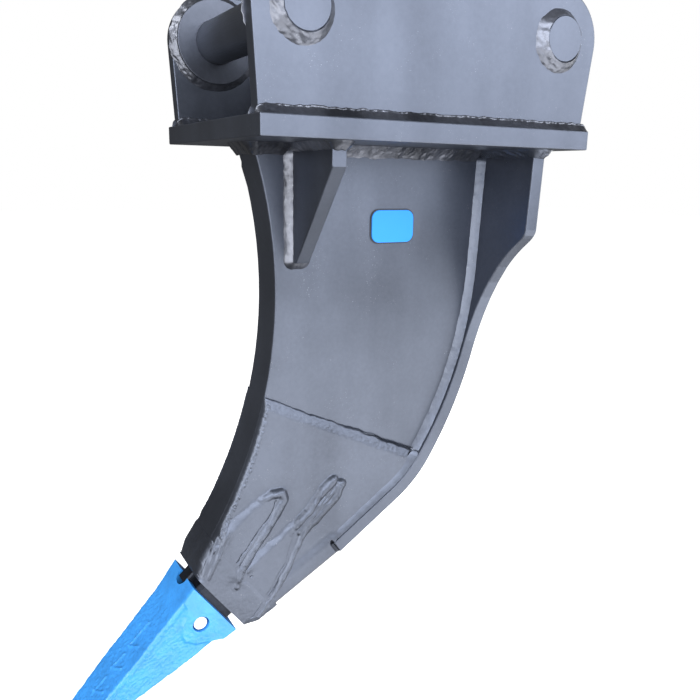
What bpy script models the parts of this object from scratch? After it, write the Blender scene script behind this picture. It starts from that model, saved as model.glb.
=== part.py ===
"""Single-shank excavator ripper with a replaceable point.

World frame: metres, +Z up, origin midway between the two hitch pins' centres.
-X is the front, where the point curls towards the machine, and -Y is the left side.
Sizes are drawn in a base frame, whose origin is the middle of the base plate's top face.
The point and its adaptor are drawn in a nose frame of their own: u runs out along
the point, v runs up across its front face, and both start at the point's rear end.
"""
import bpy
import bmesh
from math import acos, atan2, cos, hypot, pi, radians, sin, tan

GAP = 0.0003                      # drawn gap between faces that touch on the real object
EDGE_EASE = 0.0015                # bevel on cut plate edges
SHANK_EASE = 0.0025
BOSS_EASE = 0.0010
BADGE_EASE = 0.0006
RING_EASE = 0.0005
TOOL_MARGIN = 0.005               # how far cutters run past the faces that they open

# Base plate and ears
BASE_LENGTH = 0.486
BASE_WIDTH = 0.354
BASE_THICKNESS = 0.025
EAR_THICKNESS = 0.020
EAR_CLEAR_WIDTH = 0.280           # between the two ears' inner faces
EAR_FRONT_INSET = 0.005           # ear foot to the base plate's front end
EAR_LOBE_RADIUS = 0.063           # round corners, concentric with the hitch pins

# Hitch pins and their bosses
HITCH_PIN_DIAMETER = 0.060
HITCH_PIN_SPACING = 0.377
HITCH_PIN_FRONT_SETBACK = 0.0605  # front pin's centre to the base plate's front end
HITCH_PIN_HEIGHT = 0.116          # pin centres above the base plate
HITCH_PIN_PROUD = 0.009           # pin end beyond the ear's outer face
HITCH_PIN_CHAMFER = 0.002
BOSS_DIAMETER = 0.114
BOSS_THICKNESS = 0.012

# Shank plate: a thick profile-cut plate between a front arc and the flange
SHANK_THICKNESS = 0.060
SHANK_FRONT_TOP_X = -0.1944       # front edge where it meets the base plate
SHANK_FRONT_RADIUS = 0.634
SHANK_FRONT_TOP_ANGLE = -18.0     # degrees from straight down, towards the front
SHANK_FRONT_END_ANGLE = 42.0
HEEL_END_V = -0.053               # rear edge's lower end, in the nose frame

# Rear flange: a bent plate along the shank's rear edge
FLANGE_THICKNESS = 0.020
FLANGE_TOP_X = 0.1786             # its front face where it meets the base plate
FLANGE_LEAN = 2.9                 # degrees from straight down
FLANGE_STRAIGHT = 0.1696
FLANGE_MAIN_RADIUS = 0.5957
FLANGE_MAIN_ANGLE = 33.0
FLANGE_TOE_RADIUS = 0.178
FLANGE_TOE_ANGLE = 56.0
FLANGE_TOE_LENGTH = 0.121
FLANGE_TOP_WIDTH = 0.286
FLANGE_LOW_WIDTH = 0.091
FLARE_RADIUS = 0.215              # concave sweep from the wide top to the narrow tail
FLARE_END_DROP = 0.325            # where the sweep ends, below the base plate's top face
FLARE_CORNER_EASE = 0.016         # rounding where the sweep meets the wide top

# Front gussets
GUSSET_THICKNESS = 0.020
GUSSET_SETBACK = 0.0534           # front face behind the shank's front edge at the base plate
GUSSET_REACH = 0.150              # outer edge from the middle plane
GUSSET_STRAIGHT = 0.030           # straight part of the outer edge
GUSSET_HEIGHT = 0.156
GUSSET_NOSE_WIDTH = 0.028         # at its lower end, out from the shank
GUSSET_NOSE_CUT = (0.010, 0.012)  # corner taken off its lower end: across, up

# Side wear plates on the lower shank
WEAR_PLATE_THICKNESS = 0.008
WEAR_PLATE_FRONT_INSET = 0.010
WEAR_PLATE_REAR_INSET = 0.012
WEAR_PLATE_TOP_DROP = 0.391       # its top edge at the shank's front, below the base plate's top
WEAR_PLATE_TOP_SLOPE = 25.5       # degrees that the top edge falls towards the rear

# Nose frame
NOSE_X = -0.2635
NOSE_Z = -0.6637
NOSE_ANGLE = 36.5                 # degrees that the point's axis dips below level

# Adaptor casting
ADAPTOR_CHEEK = 0.0068            # body and leg roots outside the wear plates' faces
SHOULDER_GAP = 0.012              # adaptor's shoulder to the point's rear end
ADAPTOR_BODY = 0.048              # shoulder to the shank's lower end
ADAPTOR_FRONT_CHAMFER = 0.016
ADAPTOR_REAR_CHAMFER = 0.007
BODY_TOP = 0.080                  # body's front and rear faces where it meets the shank
BODY_BOTTOM = -0.073
BODY_MIDDLE_U = -0.030            # section between the shank's end and the shoulder
BODY_MIDDLE_TOP = 0.069
BODY_MIDDLE_BOTTOM = -0.0685
SHOULDER_TOP = 0.057
SHOULDER_BOTTOM = -0.055
SHOULDER_EASE = 0.001             # narrowing on each side at the shoulder
SHOULDER_FRONT_CHAMFER = 0.010
LEG_TIP_THINNING = 0.003
LEG_ROOT = 0.010                  # legs and strap run this far into the body
FRONT_LEG = ((0.0, 0.070), (-0.060, 0.070), (-0.100, 0.066), (-0.112, 0.058),
             (-0.100, 0.051), (-0.050, 0.040), (0.0, 0.028))     # u from the shank's end, v
REAR_LEG = ((0.0, 0.006), (-0.045, 0.003), (-0.092, 0.002), (-0.097, -0.003),
            (-0.092, -0.009), (-0.045, -0.033), (0.0, -0.048))
STRAP_CHEEK = 0.0057              # heel strap outside the wear plates' faces
STRAP_END_BOTTOM = -0.0885
STRAP_END_GAP = 0.0012

# Nose and point
NOSE_LENGTH = 0.082
NOSE_ROOT_HALF_HEIGHT = 0.037
NOSE_ROOT_HALF_WIDTH = 0.034
NOSE_TIP_HALF_HEIGHT = 0.014
NOSE_TIP_HALF_WIDTH = 0.027
NOSE_CHAMFER = 0.006
POCKET_CLEARANCE = 0.0006
TAB_HALF_WIDTH = 0.013            # rib on the adaptor that keys into the point's notch
TAB_REACH = 0.008
TAB_ROOT = 0.008                  # how deep the rib starts in the nose
TAB_TOP_GAP = 0.001               # rib's crest below the point's front face
TAB_FALL = 0.003
TAB_CHAMFER = 0.002
NOTCH_CLEARANCE = 0.0025
NOTCH_DEPTH = 0.016
POINT_LENGTH = 0.245
POINT_REAR_HALF_HEIGHT = 0.0513
POINT_REAR_HALF_WIDTH = 0.0465
POINT_TIP_WIDTH = 0.072
POINT_TIP_THICKNESS = 0.008
POINT_TIP_DROP = 0.003
POINT_CHAMFER = 0.003
POINT_SECTIONS = ((0.0, -POINT_REAR_HALF_HEIGHT, POINT_REAR_HALF_HEIGHT, 0.0),
                  (0.021, -0.0483, 0.0463, 0.0), (0.034, -0.0390, 0.0420, 0.0010),
                  (0.072, -0.0350, 0.0345, 0.0035),
                  (0.120, -0.0255, 0.0255, 0.0040))   # u, low v, high v, narrowing a side

# Side pin through the nose, and the split ring that holds it
PIN_DIAMETER = 0.0205
PIN_SETBACK = 0.027               # pin axis ahead of the point's rear end
PIN_LENGTH = 0.088
PIN_CHAMFER = 0.0012
PIN_BORE_CLEARANCE = 0.0004       # radial, in the nose
POINT_PLAY = 0.0012               # how far the pinned point can slide on the nose
RING_THICKNESS = 0.006
RING_WALL = 0.006
RING_CLEARANCE = 0.0004
RING_OPENING = 50.0               # degrees left out of the ring
RING_COVER = 0.001                # nose metal outside the ring's outer face
GROOVE_DEPTH = 0.0012
GROOVE_SIDE_CLEARANCE = 0.001

# Blank badge plate
BADGE_WIDTH = 0.070
BADGE_HEIGHT = 0.046
BADGE_THICKNESS = 0.003
BADGE_CORNER = 0.012
BADGE_X = 0.020
BADGE_Z = -0.135

ROUND_STEPS = 56                  # sides of a full circle
PIN_STEPS = 48
LOBE_STEPS = 18                   # sides of an ear's lobe
NOTCH_STEPS = 12                  # sides of a half circle in the point's notch
RING_STEPS = 36
CORNER_STEPS = 8
STRAIGHT_STEPS = 40               # rings along the flange's straight, where its width sweeps
ARC_STEP = radians(2.4)           # finest turn of a profile's arcs

# Driven places
BASE_UNDERSIDE = -BASE_THICKNESS
PLATE_TOP_Z = BASE_UNDERSIDE - GAP
EAR_INNER_Y = EAR_CLEAR_WIDTH / 2
EAR_OUTER_Y = EAR_INNER_Y + EAR_THICKNESS
FRONT_PIN_X = -BASE_LENGTH / 2 + HITCH_PIN_FRONT_SETBACK
REAR_PIN_X = FRONT_PIN_X + HITCH_PIN_SPACING
SHANK_SIDE_Y = SHANK_THICKNESS / 2
WEAR_SIDE_Y = SHANK_SIDE_Y + GAP + WEAR_PLATE_THICKNESS
ADAPTOR_HALF_WIDTH = WEAR_SIDE_Y + ADAPTOR_CHEEK
STRAP_HALF_WIDTH = WEAR_SIDE_Y + STRAP_CHEEK
SHOULDER_U = -SHOULDER_GAP
SHANK_END_U = SHOULDER_U - ADAPTOR_BODY
NOSE_TILT = radians(NOSE_ANGLE)
POINT_HOLE_RADIUS = PIN_DIAMETER / 2 + POINT_PLAY + PIN_BORE_CLEARANCE
RING_INNER_RADIUS = PIN_DIAMETER / 2 + RING_CLEARANCE
RING_OUTER_RADIUS = RING_INNER_RADIUS + RING_WALL


# ---------------------------------------------------------------- plane geometry

def nose_to_plane(u, v):
    """World (x, z) of a point given in the nose frame."""
    return (NOSE_X - u * cos(NOSE_TILT) - v * sin(NOSE_TILT),
            NOSE_Z - u * sin(NOSE_TILT) + v * cos(NOSE_TILT))


def plane_to_nose(x, z):
    """Nose-frame (u, v) of a world point in the middle plane."""
    dx = x - NOSE_X
    dz = z - NOSE_Z
    return (-dx * cos(NOSE_TILT) - dz * sin(NOSE_TILT),
            -dx * sin(NOSE_TILT) + dz * cos(NOSE_TILT))


def towards_front(angle):
    """Unit vector square to a path that heads down at this angle, pointing forwards."""
    return (-cos(angle), sin(angle))


def tangent_path(start, angle, segments, inset=0.0):
    """Points and headings of a smooth chain of lines and arcs, shifted forwards by inset.

    angle is the heading in radians from straight down, turning towards the front. A
    segment is ("line", length) or ("arc", radius, end_angle), curving about the front.
    """
    x, z = start
    stations = [(x, z, angle)]
    for segment in segments:
        if segment[0] == "line":
            x -= segment[1] * sin(angle)
            z -= segment[1] * cos(angle)
            stations.append((x, z, angle))
            continue
        radius, end_angle = segment[1], segment[2]
        side = towards_front(angle)
        centre = (x + radius * side[0], z + radius * side[1])
        steps = max(2, round((end_angle - angle) / ARC_STEP))
        for step in range(1, steps + 1):
            turn = angle + (end_angle - angle) * step / steps
            side = towards_front(turn)
            x = centre[0] - radius * side[0]
            z = centre[1] - radius * side[1]
            stations.append((x, z, turn))
        angle = end_angle
    shifted = []
    for x, z, turn in stations:
        side = towards_front(turn)
        shifted.append((x + inset * side[0], z + inset * side[1], turn))
    return shifted


def front_edge(inset):
    """The shank's front arc, moved back into the plate by inset, top to bottom."""
    segments = [("arc", SHANK_FRONT_RADIUS, radians(SHANK_FRONT_END_ANGLE))]
    path = tangent_path((SHANK_FRONT_TOP_X, BASE_UNDERSIDE), radians(SHANK_FRONT_TOP_ANGLE),
                        segments, -inset)
    return [(x, z) for x, z, turn in path]


def flange_stations(inset, tail=0.0):
    """Stations along the flange's front face, moved forwards by inset, top to bottom.

    tail carries the last straight on past the flange's own end.
    """
    segments = [("line", FLANGE_STRAIGHT),
                ("arc", FLANGE_MAIN_RADIUS, radians(FLANGE_MAIN_ANGLE)),
                ("arc", FLANGE_TOE_RADIUS, radians(FLANGE_TOE_ANGLE)),
                ("line", FLANGE_TOE_LENGTH + tail)]
    return tangent_path((FLANGE_TOP_X, BASE_UNDERSIDE), radians(FLANGE_LEAN), segments, inset)


def heel_v(u):
    """Nose-frame height of the shank's rear edge below the flange, at a place along u."""
    toe_u, toe_v = plane_to_nose(*flange_stations(GAP)[-1][:2])
    return toe_v + (u - toe_u) * (HEEL_END_V - toe_v) / (SHANK_END_U - toe_u)


def clip(outline, point, normal):
    """The part of a closed outline on the side of a line that normal points to."""
    def height(p):
        return (p[0] - point[0]) * normal[0] + (p[1] - point[1]) * normal[1]
    kept = []
    for here, ahead in zip(outline, outline[1:] + outline[:1]):
        a, b = height(here), height(ahead)
        if a >= 0:
            kept.append(here)
        if (a > 0) != (b > 0) and a != b:
            t = a / (a - b)
            kept.append((here[0] + t * (ahead[0] - here[0]), here[1] + t * (ahead[1] - here[1])))
    return kept


def shank_outline(front_inset, rear_inset, end_u):
    """Closed side view of the shank, or of a plate that lies inside its edges."""
    rear = [(x, z) for x, z, turn in flange_stations(rear_inset + GAP, SHANK_THICKNESS * 4)]
    outline = clip(front_edge(front_inset) + rear[::-1], (0.0, PLATE_TOP_Z), (0.0, -1.0))
    outline = clip(outline, nose_to_plane(end_u, 0.0), (cos(NOSE_TILT), sin(NOSE_TILT)))
    heel_from = nose_to_plane(SHANK_END_U, heel_v(SHANK_END_U) + rear_inset)
    heel_to = nose_to_plane(0.0, heel_v(0.0) + rear_inset)
    return clip(outline, heel_from, (heel_to[1] - heel_from[1], heel_from[0] - heel_to[0]))


def arc_points(centre, radius, start, end, steps):
    """Points along a circular arc, both ends included."""
    return [(centre[0] + radius * cos(start + (end - start) * i / steps),
             centre[1] + radius * sin(start + (end - start) * i / steps)) for i in range(steps + 1)]


def tangent_angle(point, centre, radius, side):
    """Angle round a circle where the line from an outside point touches it."""
    dx, dz = point[0] - centre[0], point[1] - centre[1]
    return atan2(dz, dx) + side * acos(radius / hypot(dx, dz))


def ear_outline():
    """Closed side view of an ear: leaning ends, round lobes over the pins, straight top."""
    foot_front = (-BASE_LENGTH / 2 + EAR_FRONT_INSET, GAP)
    foot_rear = (BASE_LENGTH / 2, GAP)
    front = (FRONT_PIN_X, HITCH_PIN_HEIGHT)
    rear = (REAR_PIN_X, HITCH_PIN_HEIGHT)
    front_start = tangent_angle(foot_front, front, EAR_LOBE_RADIUS, -1.0) + 2 * pi
    rear_start = tangent_angle(foot_rear, rear, EAR_LOBE_RADIUS, 1.0)
    outline = [foot_front, foot_rear]
    outline += arc_points(rear, EAR_LOBE_RADIUS, rear_start, pi / 2, LOBE_STEPS)
    outline += arc_points(front, EAR_LOBE_RADIUS, pi / 2, front_start, LOBE_STEPS)
    return outline


# ---------------------------------------------------------------- mesh helpers

def painted(name, colour, roughness, metallic):
    """A Principled material."""
    material = bpy.data.materials.new(name)
    material.use_nodes = True
    shader = material.node_tree.nodes["Principled BSDF"]
    shader.inputs["Base Color"].default_value = (*colour, 1.0)
    shader.inputs["Roughness"].default_value = roughness
    shader.inputs["Metallic"].default_value = metallic
    return material


def add_object(name, mesh, finish=None):
    """Put a mesh in the scene under a sub-part's name."""
    piece = bpy.data.objects.new(name, mesh)
    bpy.context.scene.collection.objects.link(piece)
    if finish:
        mesh.materials.append(painted(name + "_finish", *finish))
    return piece


def loft(name, sections, finish=None, smooth=False):
    """A closed solid through rings of equal count, capped at both ends."""
    bm = bmesh.new()
    rings = [[bm.verts.new(p) for p in ring] for ring in sections]
    for lower, upper in zip(rings, rings[1:]):
        for i in range(len(lower)):
            j = (i + 1) % len(lower)
            bm.faces.new((lower[i], lower[j], upper[j], upper[i]))
    bm.faces.new(rings[0])
    bm.faces.new(rings[-1])
    bmesh.ops.recalc_face_normals(bm, faces=bm.faces)
    mesh = bpy.data.meshes.new(name)
    bm.to_mesh(mesh)
    bm.free()
    if smooth:
        mesh.shade_smooth()
        mesh.set_sharp_from_angle(angle=radians(35.0))
    return add_object(name, mesh, finish)


def side_plate(name, outline, y_from, y_to, finish=None):
    """A plate cut to a side view (x, z) and standing between two y planes."""
    return loft(name, [[(x, y, z) for x, z in outline] for y in (y_from, y_to)], finish)


def turned(name, profile, finish=None, steps=ROUND_STEPS):
    """A solid turned about local Y from (y, radius) pairs."""
    rings = [[(radius * cos(2 * pi * i / steps), y, radius * sin(2 * pi * i / steps))
              for i in range(steps)] for y, radius in profile]
    return loft(name, rings, finish, smooth=True)


def cutter(name, maker, *shape):
    """A hidden tool for a Boolean."""
    tool = maker(name, *shape)
    tool.hide_render = True
    tool.display_type = "WIRE"
    return tool


def cut(piece, tool, operation="DIFFERENCE"):
    """Cut a piece with a tool, or join the two."""
    modifier = piece.modifiers.new(tool.name, "BOOLEAN")
    modifier.operation = operation
    modifier.object = tool
    modifier.solver = "EXACT"


def bevel(piece, width, segments=2, angle=40.0):
    """Ease a piece's sharp edges."""
    modifier = piece.modifiers.new("eased_edges", "BEVEL")
    modifier.width = width
    modifier.segments = segments
    modifier.limit_method = "ANGLE"
    modifier.angle_limit = radians(angle)


def box_ring(half_width, low, high, chamfer, u, low_chamfer=None):
    """An upright ring with cut corners at one place along the nose: local (u, y, v)."""
    w, c = half_width, chamfer
    d = chamfer if low_chamfer is None else low_chamfer
    return [(u, -w, low + d), (u, -w, high - c), (u, -w + c, high), (u, w - c, high),
            (u, w, high - c), (u, w, low + d), (u, w - d, low), (u, -w + d, low)]


# ---------------------------------------------------------------- finishes

GRAPHITE = ((0.085, 0.092, 0.110), 0.34, 0.55)
GRAPHITE_DARK = ((0.070, 0.076, 0.092), 0.36, 0.55)
CAST_GRAPHITE = ((0.090, 0.096, 0.112), 0.44, 0.50)
CAST_BLUE = ((0.015, 0.260, 0.800), 0.38, 0.00)
BADGE_BLUE = ((0.010, 0.210, 0.680), 0.35, 0.00)
BRIGHT_STEEL = ((0.720, 0.700, 0.690), 0.25, 1.00)
SPRING_STEEL = ((0.240, 0.240, 0.250), 0.35, 1.00)


# ---------------------------------------------------------------- sub-parts

def make_base_plate():
    outline = [(-BASE_LENGTH / 2, BASE_UNDERSIDE), (BASE_LENGTH / 2, BASE_UNDERSIDE),
               (BASE_LENGTH / 2, 0.0), (-BASE_LENGTH / 2, 0.0)]
    plate = side_plate("base_plate", outline, -BASE_WIDTH / 2, BASE_WIDTH / 2, GRAPHITE)
    bevel(plate, EDGE_EASE)


def make_hitch():
    """Two ears, two welded hitch pins through them, and a boss at each pin's inner end."""
    places = (("front", FRONT_PIN_X), ("rear", REAR_PIN_X))
    bore = HITCH_PIN_DIAMETER / 2 + GAP
    reach = EAR_OUTER_Y + HITCH_PIN_PROUD
    tools = {}
    for place, x in places:
        tools[place] = cutter(place + "_pin_bore_tool", turned, [(-reach, bore), (reach, bore)])
        tools[place].location = (x, 0.0, HITCH_PIN_HEIGHT)
        c = HITCH_PIN_CHAMFER
        r = HITCH_PIN_DIAMETER / 2
        pin = turned(place + "_hitch_pin", [(-reach, r - c), (-reach + c, r), (reach - c, r),
                                            (reach, r - c)], GRAPHITE_DARK)
        pin.location = (x, 0.0, HITCH_PIN_HEIGHT)
    for side, sign in (("left", -1.0), ("right", 1.0)):
        ear = side_plate(side + "_ear", ear_outline(), sign * EAR_INNER_Y, sign * EAR_OUTER_Y,
                         GRAPHITE)
        bevel(ear, EDGE_EASE)
        for place, x in places:
            cut(ear, tools[place])
            outer_y = sign * (EAR_INNER_Y - GAP)
            inner_y = sign * (EAR_INNER_Y - GAP - BOSS_THICKNESS)
            r = BOSS_DIAMETER / 2
            boss = turned(f"{place}_{side}_boss", [(outer_y, r), (inner_y, r)], GRAPHITE_DARK)
            boss.location = (x, 0.0, HITCH_PIN_HEIGHT)
            bevel(boss, BOSS_EASE)
            cut(boss, tools[place])


def make_shank():
    outline = shank_outline(0.0, 0.0, SHANK_END_U - GAP)
    shank = side_plate("shank_plate", outline, -SHANK_SIDE_Y, SHANK_SIDE_Y, GRAPHITE)
    bevel(shank, SHANK_EASE)


def flange_half_width(z):
    """Half the flange's width: wide at the top, a rounded corner, then a concave sweep."""
    low = FLANGE_LOW_WIDTH / 2
    high = FLANGE_TOP_WIDTH / 2
    above = z + FLARE_END_DROP
    if above <= 0.0:
        return low
    sweep = low + FLARE_RADIUS
    if above < FLARE_RADIUS:
        sweep -= (FLARE_RADIUS ** 2 - above ** 2) ** 0.5
    share = min(1.0, max(0.0, 0.5 + 0.5 * (high - sweep) / FLARE_CORNER_EASE))
    return high * (1 - share) + sweep * share - FLARE_CORNER_EASE * share * (1 - share)


def make_rear_flange():
    stations = flange_stations(0.0)
    (top_x, top_z, lean), (low_x, low_z, lean) = stations[:2]
    parts = [i / STRAIGHT_STEPS for i in range(STRAIGHT_STEPS)]
    straight = [(top_x + (low_x - top_x) * t, top_z + (low_z - top_z) * t, lean) for t in parts]
    rings = []
    for x, z, turn in straight + stations[1:]:
        side = towards_front(turn)
        back = (x - FLANGE_THICKNESS * side[0], z - FLANGE_THICKNESS * side[1])
        w = flange_half_width(z)
        rings.append([(x, -w, z), (x, w, z), (back[0], w, back[1]), (back[0], -w, back[1])])
    rings[0] = [(x, y, PLATE_TOP_Z) for x, y, z in rings[0]]
    flange = loft("rear_flange", rings, GRAPHITE)
    bevel(flange, EDGE_EASE)


def make_gussets():
    x_from = SHANK_FRONT_TOP_X + GUSSET_SETBACK
    inner = SHANK_SIDE_Y + GAP
    foot_z = BASE_UNDERSIDE - GUSSET_HEIGHT
    nose_y = SHANK_SIDE_Y + GUSSET_NOSE_WIDTH
    outline = [(inner, PLATE_TOP_Z), (GUSSET_REACH, PLATE_TOP_Z),
               (GUSSET_REACH, BASE_UNDERSIDE - GUSSET_STRAIGHT),
               (nose_y, foot_z + GUSSET_NOSE_CUT[1]), (nose_y - GUSSET_NOSE_CUT[0], foot_z),
               (inner, foot_z)]
    for side, sign in (("left", -1.0), ("right", 1.0)):
        rings = [[(x, sign * y, z) for y, z in outline]
                 for x in (x_from, x_from + GUSSET_THICKNESS)]
        gusset = loft(side + "_gusset", rings, GRAPHITE)
        bevel(gusset, EDGE_EASE)


def make_wear_plates():
    slope = radians(WEAR_PLATE_TOP_SLOPE)
    seam = front_edge(0.0)
    corner = min(seam, key=lambda p: abs(p[1] + WEAR_PLATE_TOP_DROP))
    outline = shank_outline(WEAR_PLATE_FRONT_INSET, WEAR_PLATE_REAR_INSET, SHANK_END_U - GAP)
    outline = clip(outline, (corner[0], -WEAR_PLATE_TOP_DROP), (-sin(slope), -cos(slope)))
    for side, sign in (("left", -1.0), ("right", 1.0)):
        plate = side_plate(side + "_wear_plate", outline, sign * (SHANK_SIDE_Y + GAP),
                           sign * WEAR_SIDE_Y, GRAPHITE)
        bevel(plate, EDGE_EASE)


def make_heel_strap_tool():
    """The adaptor's strap along the shank's heel, up to the flange's end, edges cut back."""
    toe_u = plane_to_nose(*flange_stations(GAP)[-1][:2])[0]
    w, c = STRAP_HALF_WIDTH, ADAPTOR_REAR_CHAMFER
    rings = []
    for u, low in ((toe_u + STRAP_END_GAP, STRAP_END_BOTTOM), (SHANK_END_U, BODY_BOTTOM),
                   (SHANK_END_U + LEG_ROOT, BODY_BOTTOM + ADAPTOR_REAR_CHAMFER / 2)):
        high = heel_v(u) - GAP
        rings.append([(u, -w, high), (u, -w, low + c), (u, -w + c, low), (u, w - c, low),
                      (u, w, low + c), (u, w, high)])
    return cutter("heel_strap_tool", loft, rings)


def make_adaptor(nose_frame):
    """Cast adaptor: body across the shank's end, two legs on each side, and the nose."""
    rings = [box_ring(ADAPTOR_HALF_WIDTH, BODY_BOTTOM, BODY_TOP, ADAPTOR_FRONT_CHAMFER,
                      SHANK_END_U, ADAPTOR_REAR_CHAMFER),
             box_ring(ADAPTOR_HALF_WIDTH, BODY_MIDDLE_BOTTOM, BODY_MIDDLE_TOP,
                      ADAPTOR_FRONT_CHAMFER, BODY_MIDDLE_U, ADAPTOR_REAR_CHAMFER),
             box_ring(ADAPTOR_HALF_WIDTH - SHOULDER_EASE, SHOULDER_BOTTOM, SHOULDER_TOP,
                      SHOULDER_FRONT_CHAMFER, SHOULDER_U, ADAPTOR_REAR_CHAMFER)]
    adaptor = loft("nose_adaptor", rings, CAST_GRAPHITE)
    adaptor.parent = nose_frame
    root = SHOULDER_U - TOOL_MARGIN
    nose = cutter("nose_tool", loft, [
        box_ring(NOSE_ROOT_HALF_WIDTH, -NOSE_ROOT_HALF_HEIGHT, NOSE_ROOT_HALF_HEIGHT,
                 NOSE_CHAMFER, root),
        box_ring(NOSE_ROOT_HALF_WIDTH, -NOSE_ROOT_HALF_HEIGHT, NOSE_ROOT_HALF_HEIGHT,
                 NOSE_CHAMFER, 0.0),
        box_ring(NOSE_TIP_HALF_WIDTH, -NOSE_TIP_HALF_HEIGHT, NOSE_TIP_HALF_HEIGHT,
                 NOSE_CHAMFER, NOSE_LENGTH)])
    tab_low = NOSE_ROOT_HALF_HEIGHT - TAB_ROOT
    tab_high = POINT_REAR_HALF_HEIGHT - TAB_TOP_GAP
    tab = cutter("tab_tool", loft, [
        box_ring(TAB_HALF_WIDTH, tab_low, tab_high, TAB_CHAMFER, root),
        box_ring(TAB_HALF_WIDTH, tab_low, tab_high - TAB_FALL, TAB_CHAMFER, TAB_REACH)])
    tools = [nose, tab, make_heel_strap_tool()]
    leg_from = WEAR_SIDE_Y + GAP
    for name, leg in (("front", FRONT_LEG), ("rear", REAR_LEG)):
        length = -min(u for u, v in leg)
        outline = [(SHANK_END_U + (u if u else LEG_ROOT), v) for u, v in leg]
        for side, sign in (("left", -1.0), ("right", 1.0)):
            inner = [(u, -sign * leg_from, v) for u, v in outline]
            outer = [(u, -sign * (ADAPTOR_HALF_WIDTH - LEG_TIP_THINNING
                                  * min(1.0, max(0.0, (SHANK_END_U - u) / length))), v)
                     for u, v in outline]
            tools.append(cutter(f"{side}_{name}_leg_tool", loft, [inner, outer]))
    for tool in tools:
        tool.parent = nose_frame
        cut(adaptor, tool, "UNION")
    bore_radius = PIN_DIAMETER / 2 + PIN_BORE_CLEARANCE
    bore = cutter("pin_bore_tool", turned,
                  [(-POINT_REAR_HALF_WIDTH, bore_radius), (POINT_REAR_HALF_WIDTH, bore_radius)])
    recess = cutter("ring_recess_tool", turned,
                    [(-ring_inner_face() + RING_CLEARANCE, RING_OUTER_RADIUS + RING_CLEARANCE),
                     (-POINT_REAR_HALF_WIDTH, RING_OUTER_RADIUS + RING_CLEARANCE)])
    for tool in (bore, recess):
        tool.parent = nose_frame
        tool.location = (PIN_SETBACK, 0.0, 0.0)
        cut(adaptor, tool)


def nose_half_width(u):
    """Half the nose's width at a place ahead of the point's rear end."""
    return NOSE_ROOT_HALF_WIDTH + (NOSE_TIP_HALF_WIDTH - NOSE_ROOT_HALF_WIDTH) * u / NOSE_LENGTH


def ring_inner_face():
    """How far the ring's inner face is from the middle plane."""
    narrow_end = PIN_SETBACK + RING_OUTER_RADIUS
    return nose_half_width(narrow_end) - RING_COVER - RING_THICKNESS


def make_tooth_point(nose_frame):
    """Cast point: a wedge with a tapered pocket, a rear notch and a pin hole each side."""
    w = POINT_REAR_HALF_WIDTH
    tip_low = -POINT_TIP_DROP - POINT_TIP_THICKNESS / 2
    tip_high = -POINT_TIP_DROP + POINT_TIP_THICKNESS / 2
    rings = [box_ring(w - narrowing, low, high, POINT_CHAMFER, u)
             for u, low, high, narrowing in POINT_SECTIONS]
    rings.append(box_ring(POINT_TIP_WIDTH / 2, tip_low, tip_high, POINT_CHAMFER, POINT_LENGTH))
    point = loft("tooth_point", rings, CAST_BLUE)
    c = POCKET_CLEARANCE
    pocket = cutter("pocket_tool", loft, [
        box_ring(NOSE_ROOT_HALF_WIDTH + c, -NOSE_ROOT_HALF_HEIGHT - c, NOSE_ROOT_HALF_HEIGHT + c,
                 NOSE_CHAMFER, -TOOL_MARGIN),
        box_ring(NOSE_ROOT_HALF_WIDTH + c, -NOSE_ROOT_HALF_HEIGHT - c, NOSE_ROOT_HALF_HEIGHT + c,
                 NOSE_CHAMFER, 0.0),
        box_ring(NOSE_TIP_HALF_WIDTH + c, -NOSE_TIP_HALF_HEIGHT - c, NOSE_TIP_HALF_HEIGHT + c,
                 NOSE_CHAMFER, NOSE_LENGTH + c)])
    notch_half = TAB_HALF_WIDTH + NOTCH_CLEARANCE
    straight = NOTCH_DEPTH - notch_half
    plan = [(-TOOL_MARGIN, -notch_half)]
    plan += arc_points((straight, 0.0), notch_half, -pi / 2, pi / 2, NOTCH_STEPS)
    plan += [(-TOOL_MARGIN, notch_half)]
    levels = (NOSE_ROOT_HALF_HEIGHT - TAB_ROOT, POINT_REAR_HALF_HEIGHT + TOOL_MARGIN)
    notch = cutter("notch_tool", loft, [[(u, y, v) for u, y in plan] for v in levels])
    hole = cutter("point_hole_tool", turned, [(-w - TOOL_MARGIN, POINT_HOLE_RADIUS),
                                              (w + TOOL_MARGIN, POINT_HOLE_RADIUS)])
    hole.location = (PIN_SETBACK, 0.0, 0.0)
    for tool in (pocket, notch, hole):
        tool.parent = nose_frame
        cut(point, tool)
    point.parent = nose_frame


def make_retaining_pin(nose_frame):
    """Side pin with a groove for the split ring; its origin is on its own axis."""
    r = PIN_DIAMETER / 2
    half = PIN_LENGTH / 2
    groove_in = ring_inner_face() - GROOVE_SIDE_CLEARANCE
    groove_out = groove_in + RING_THICKNESS + 2 * GROOVE_SIDE_CLEARANCE
    slope = GROOVE_DEPTH
    profile = [(-half, r - PIN_CHAMFER), (-half + PIN_CHAMFER, r), (-groove_out - slope, r),
               (-groove_out, r - GROOVE_DEPTH), (-groove_in, r - GROOVE_DEPTH),
               (-groove_in + slope, r), (half - PIN_CHAMFER, r), (half, r - PIN_CHAMFER)]
    pin = turned("retaining_pin", profile, BRIGHT_STEEL, PIN_STEPS)
    pin.parent = nose_frame
    pin.location = (PIN_SETBACK, 0.0, 0.0)


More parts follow.
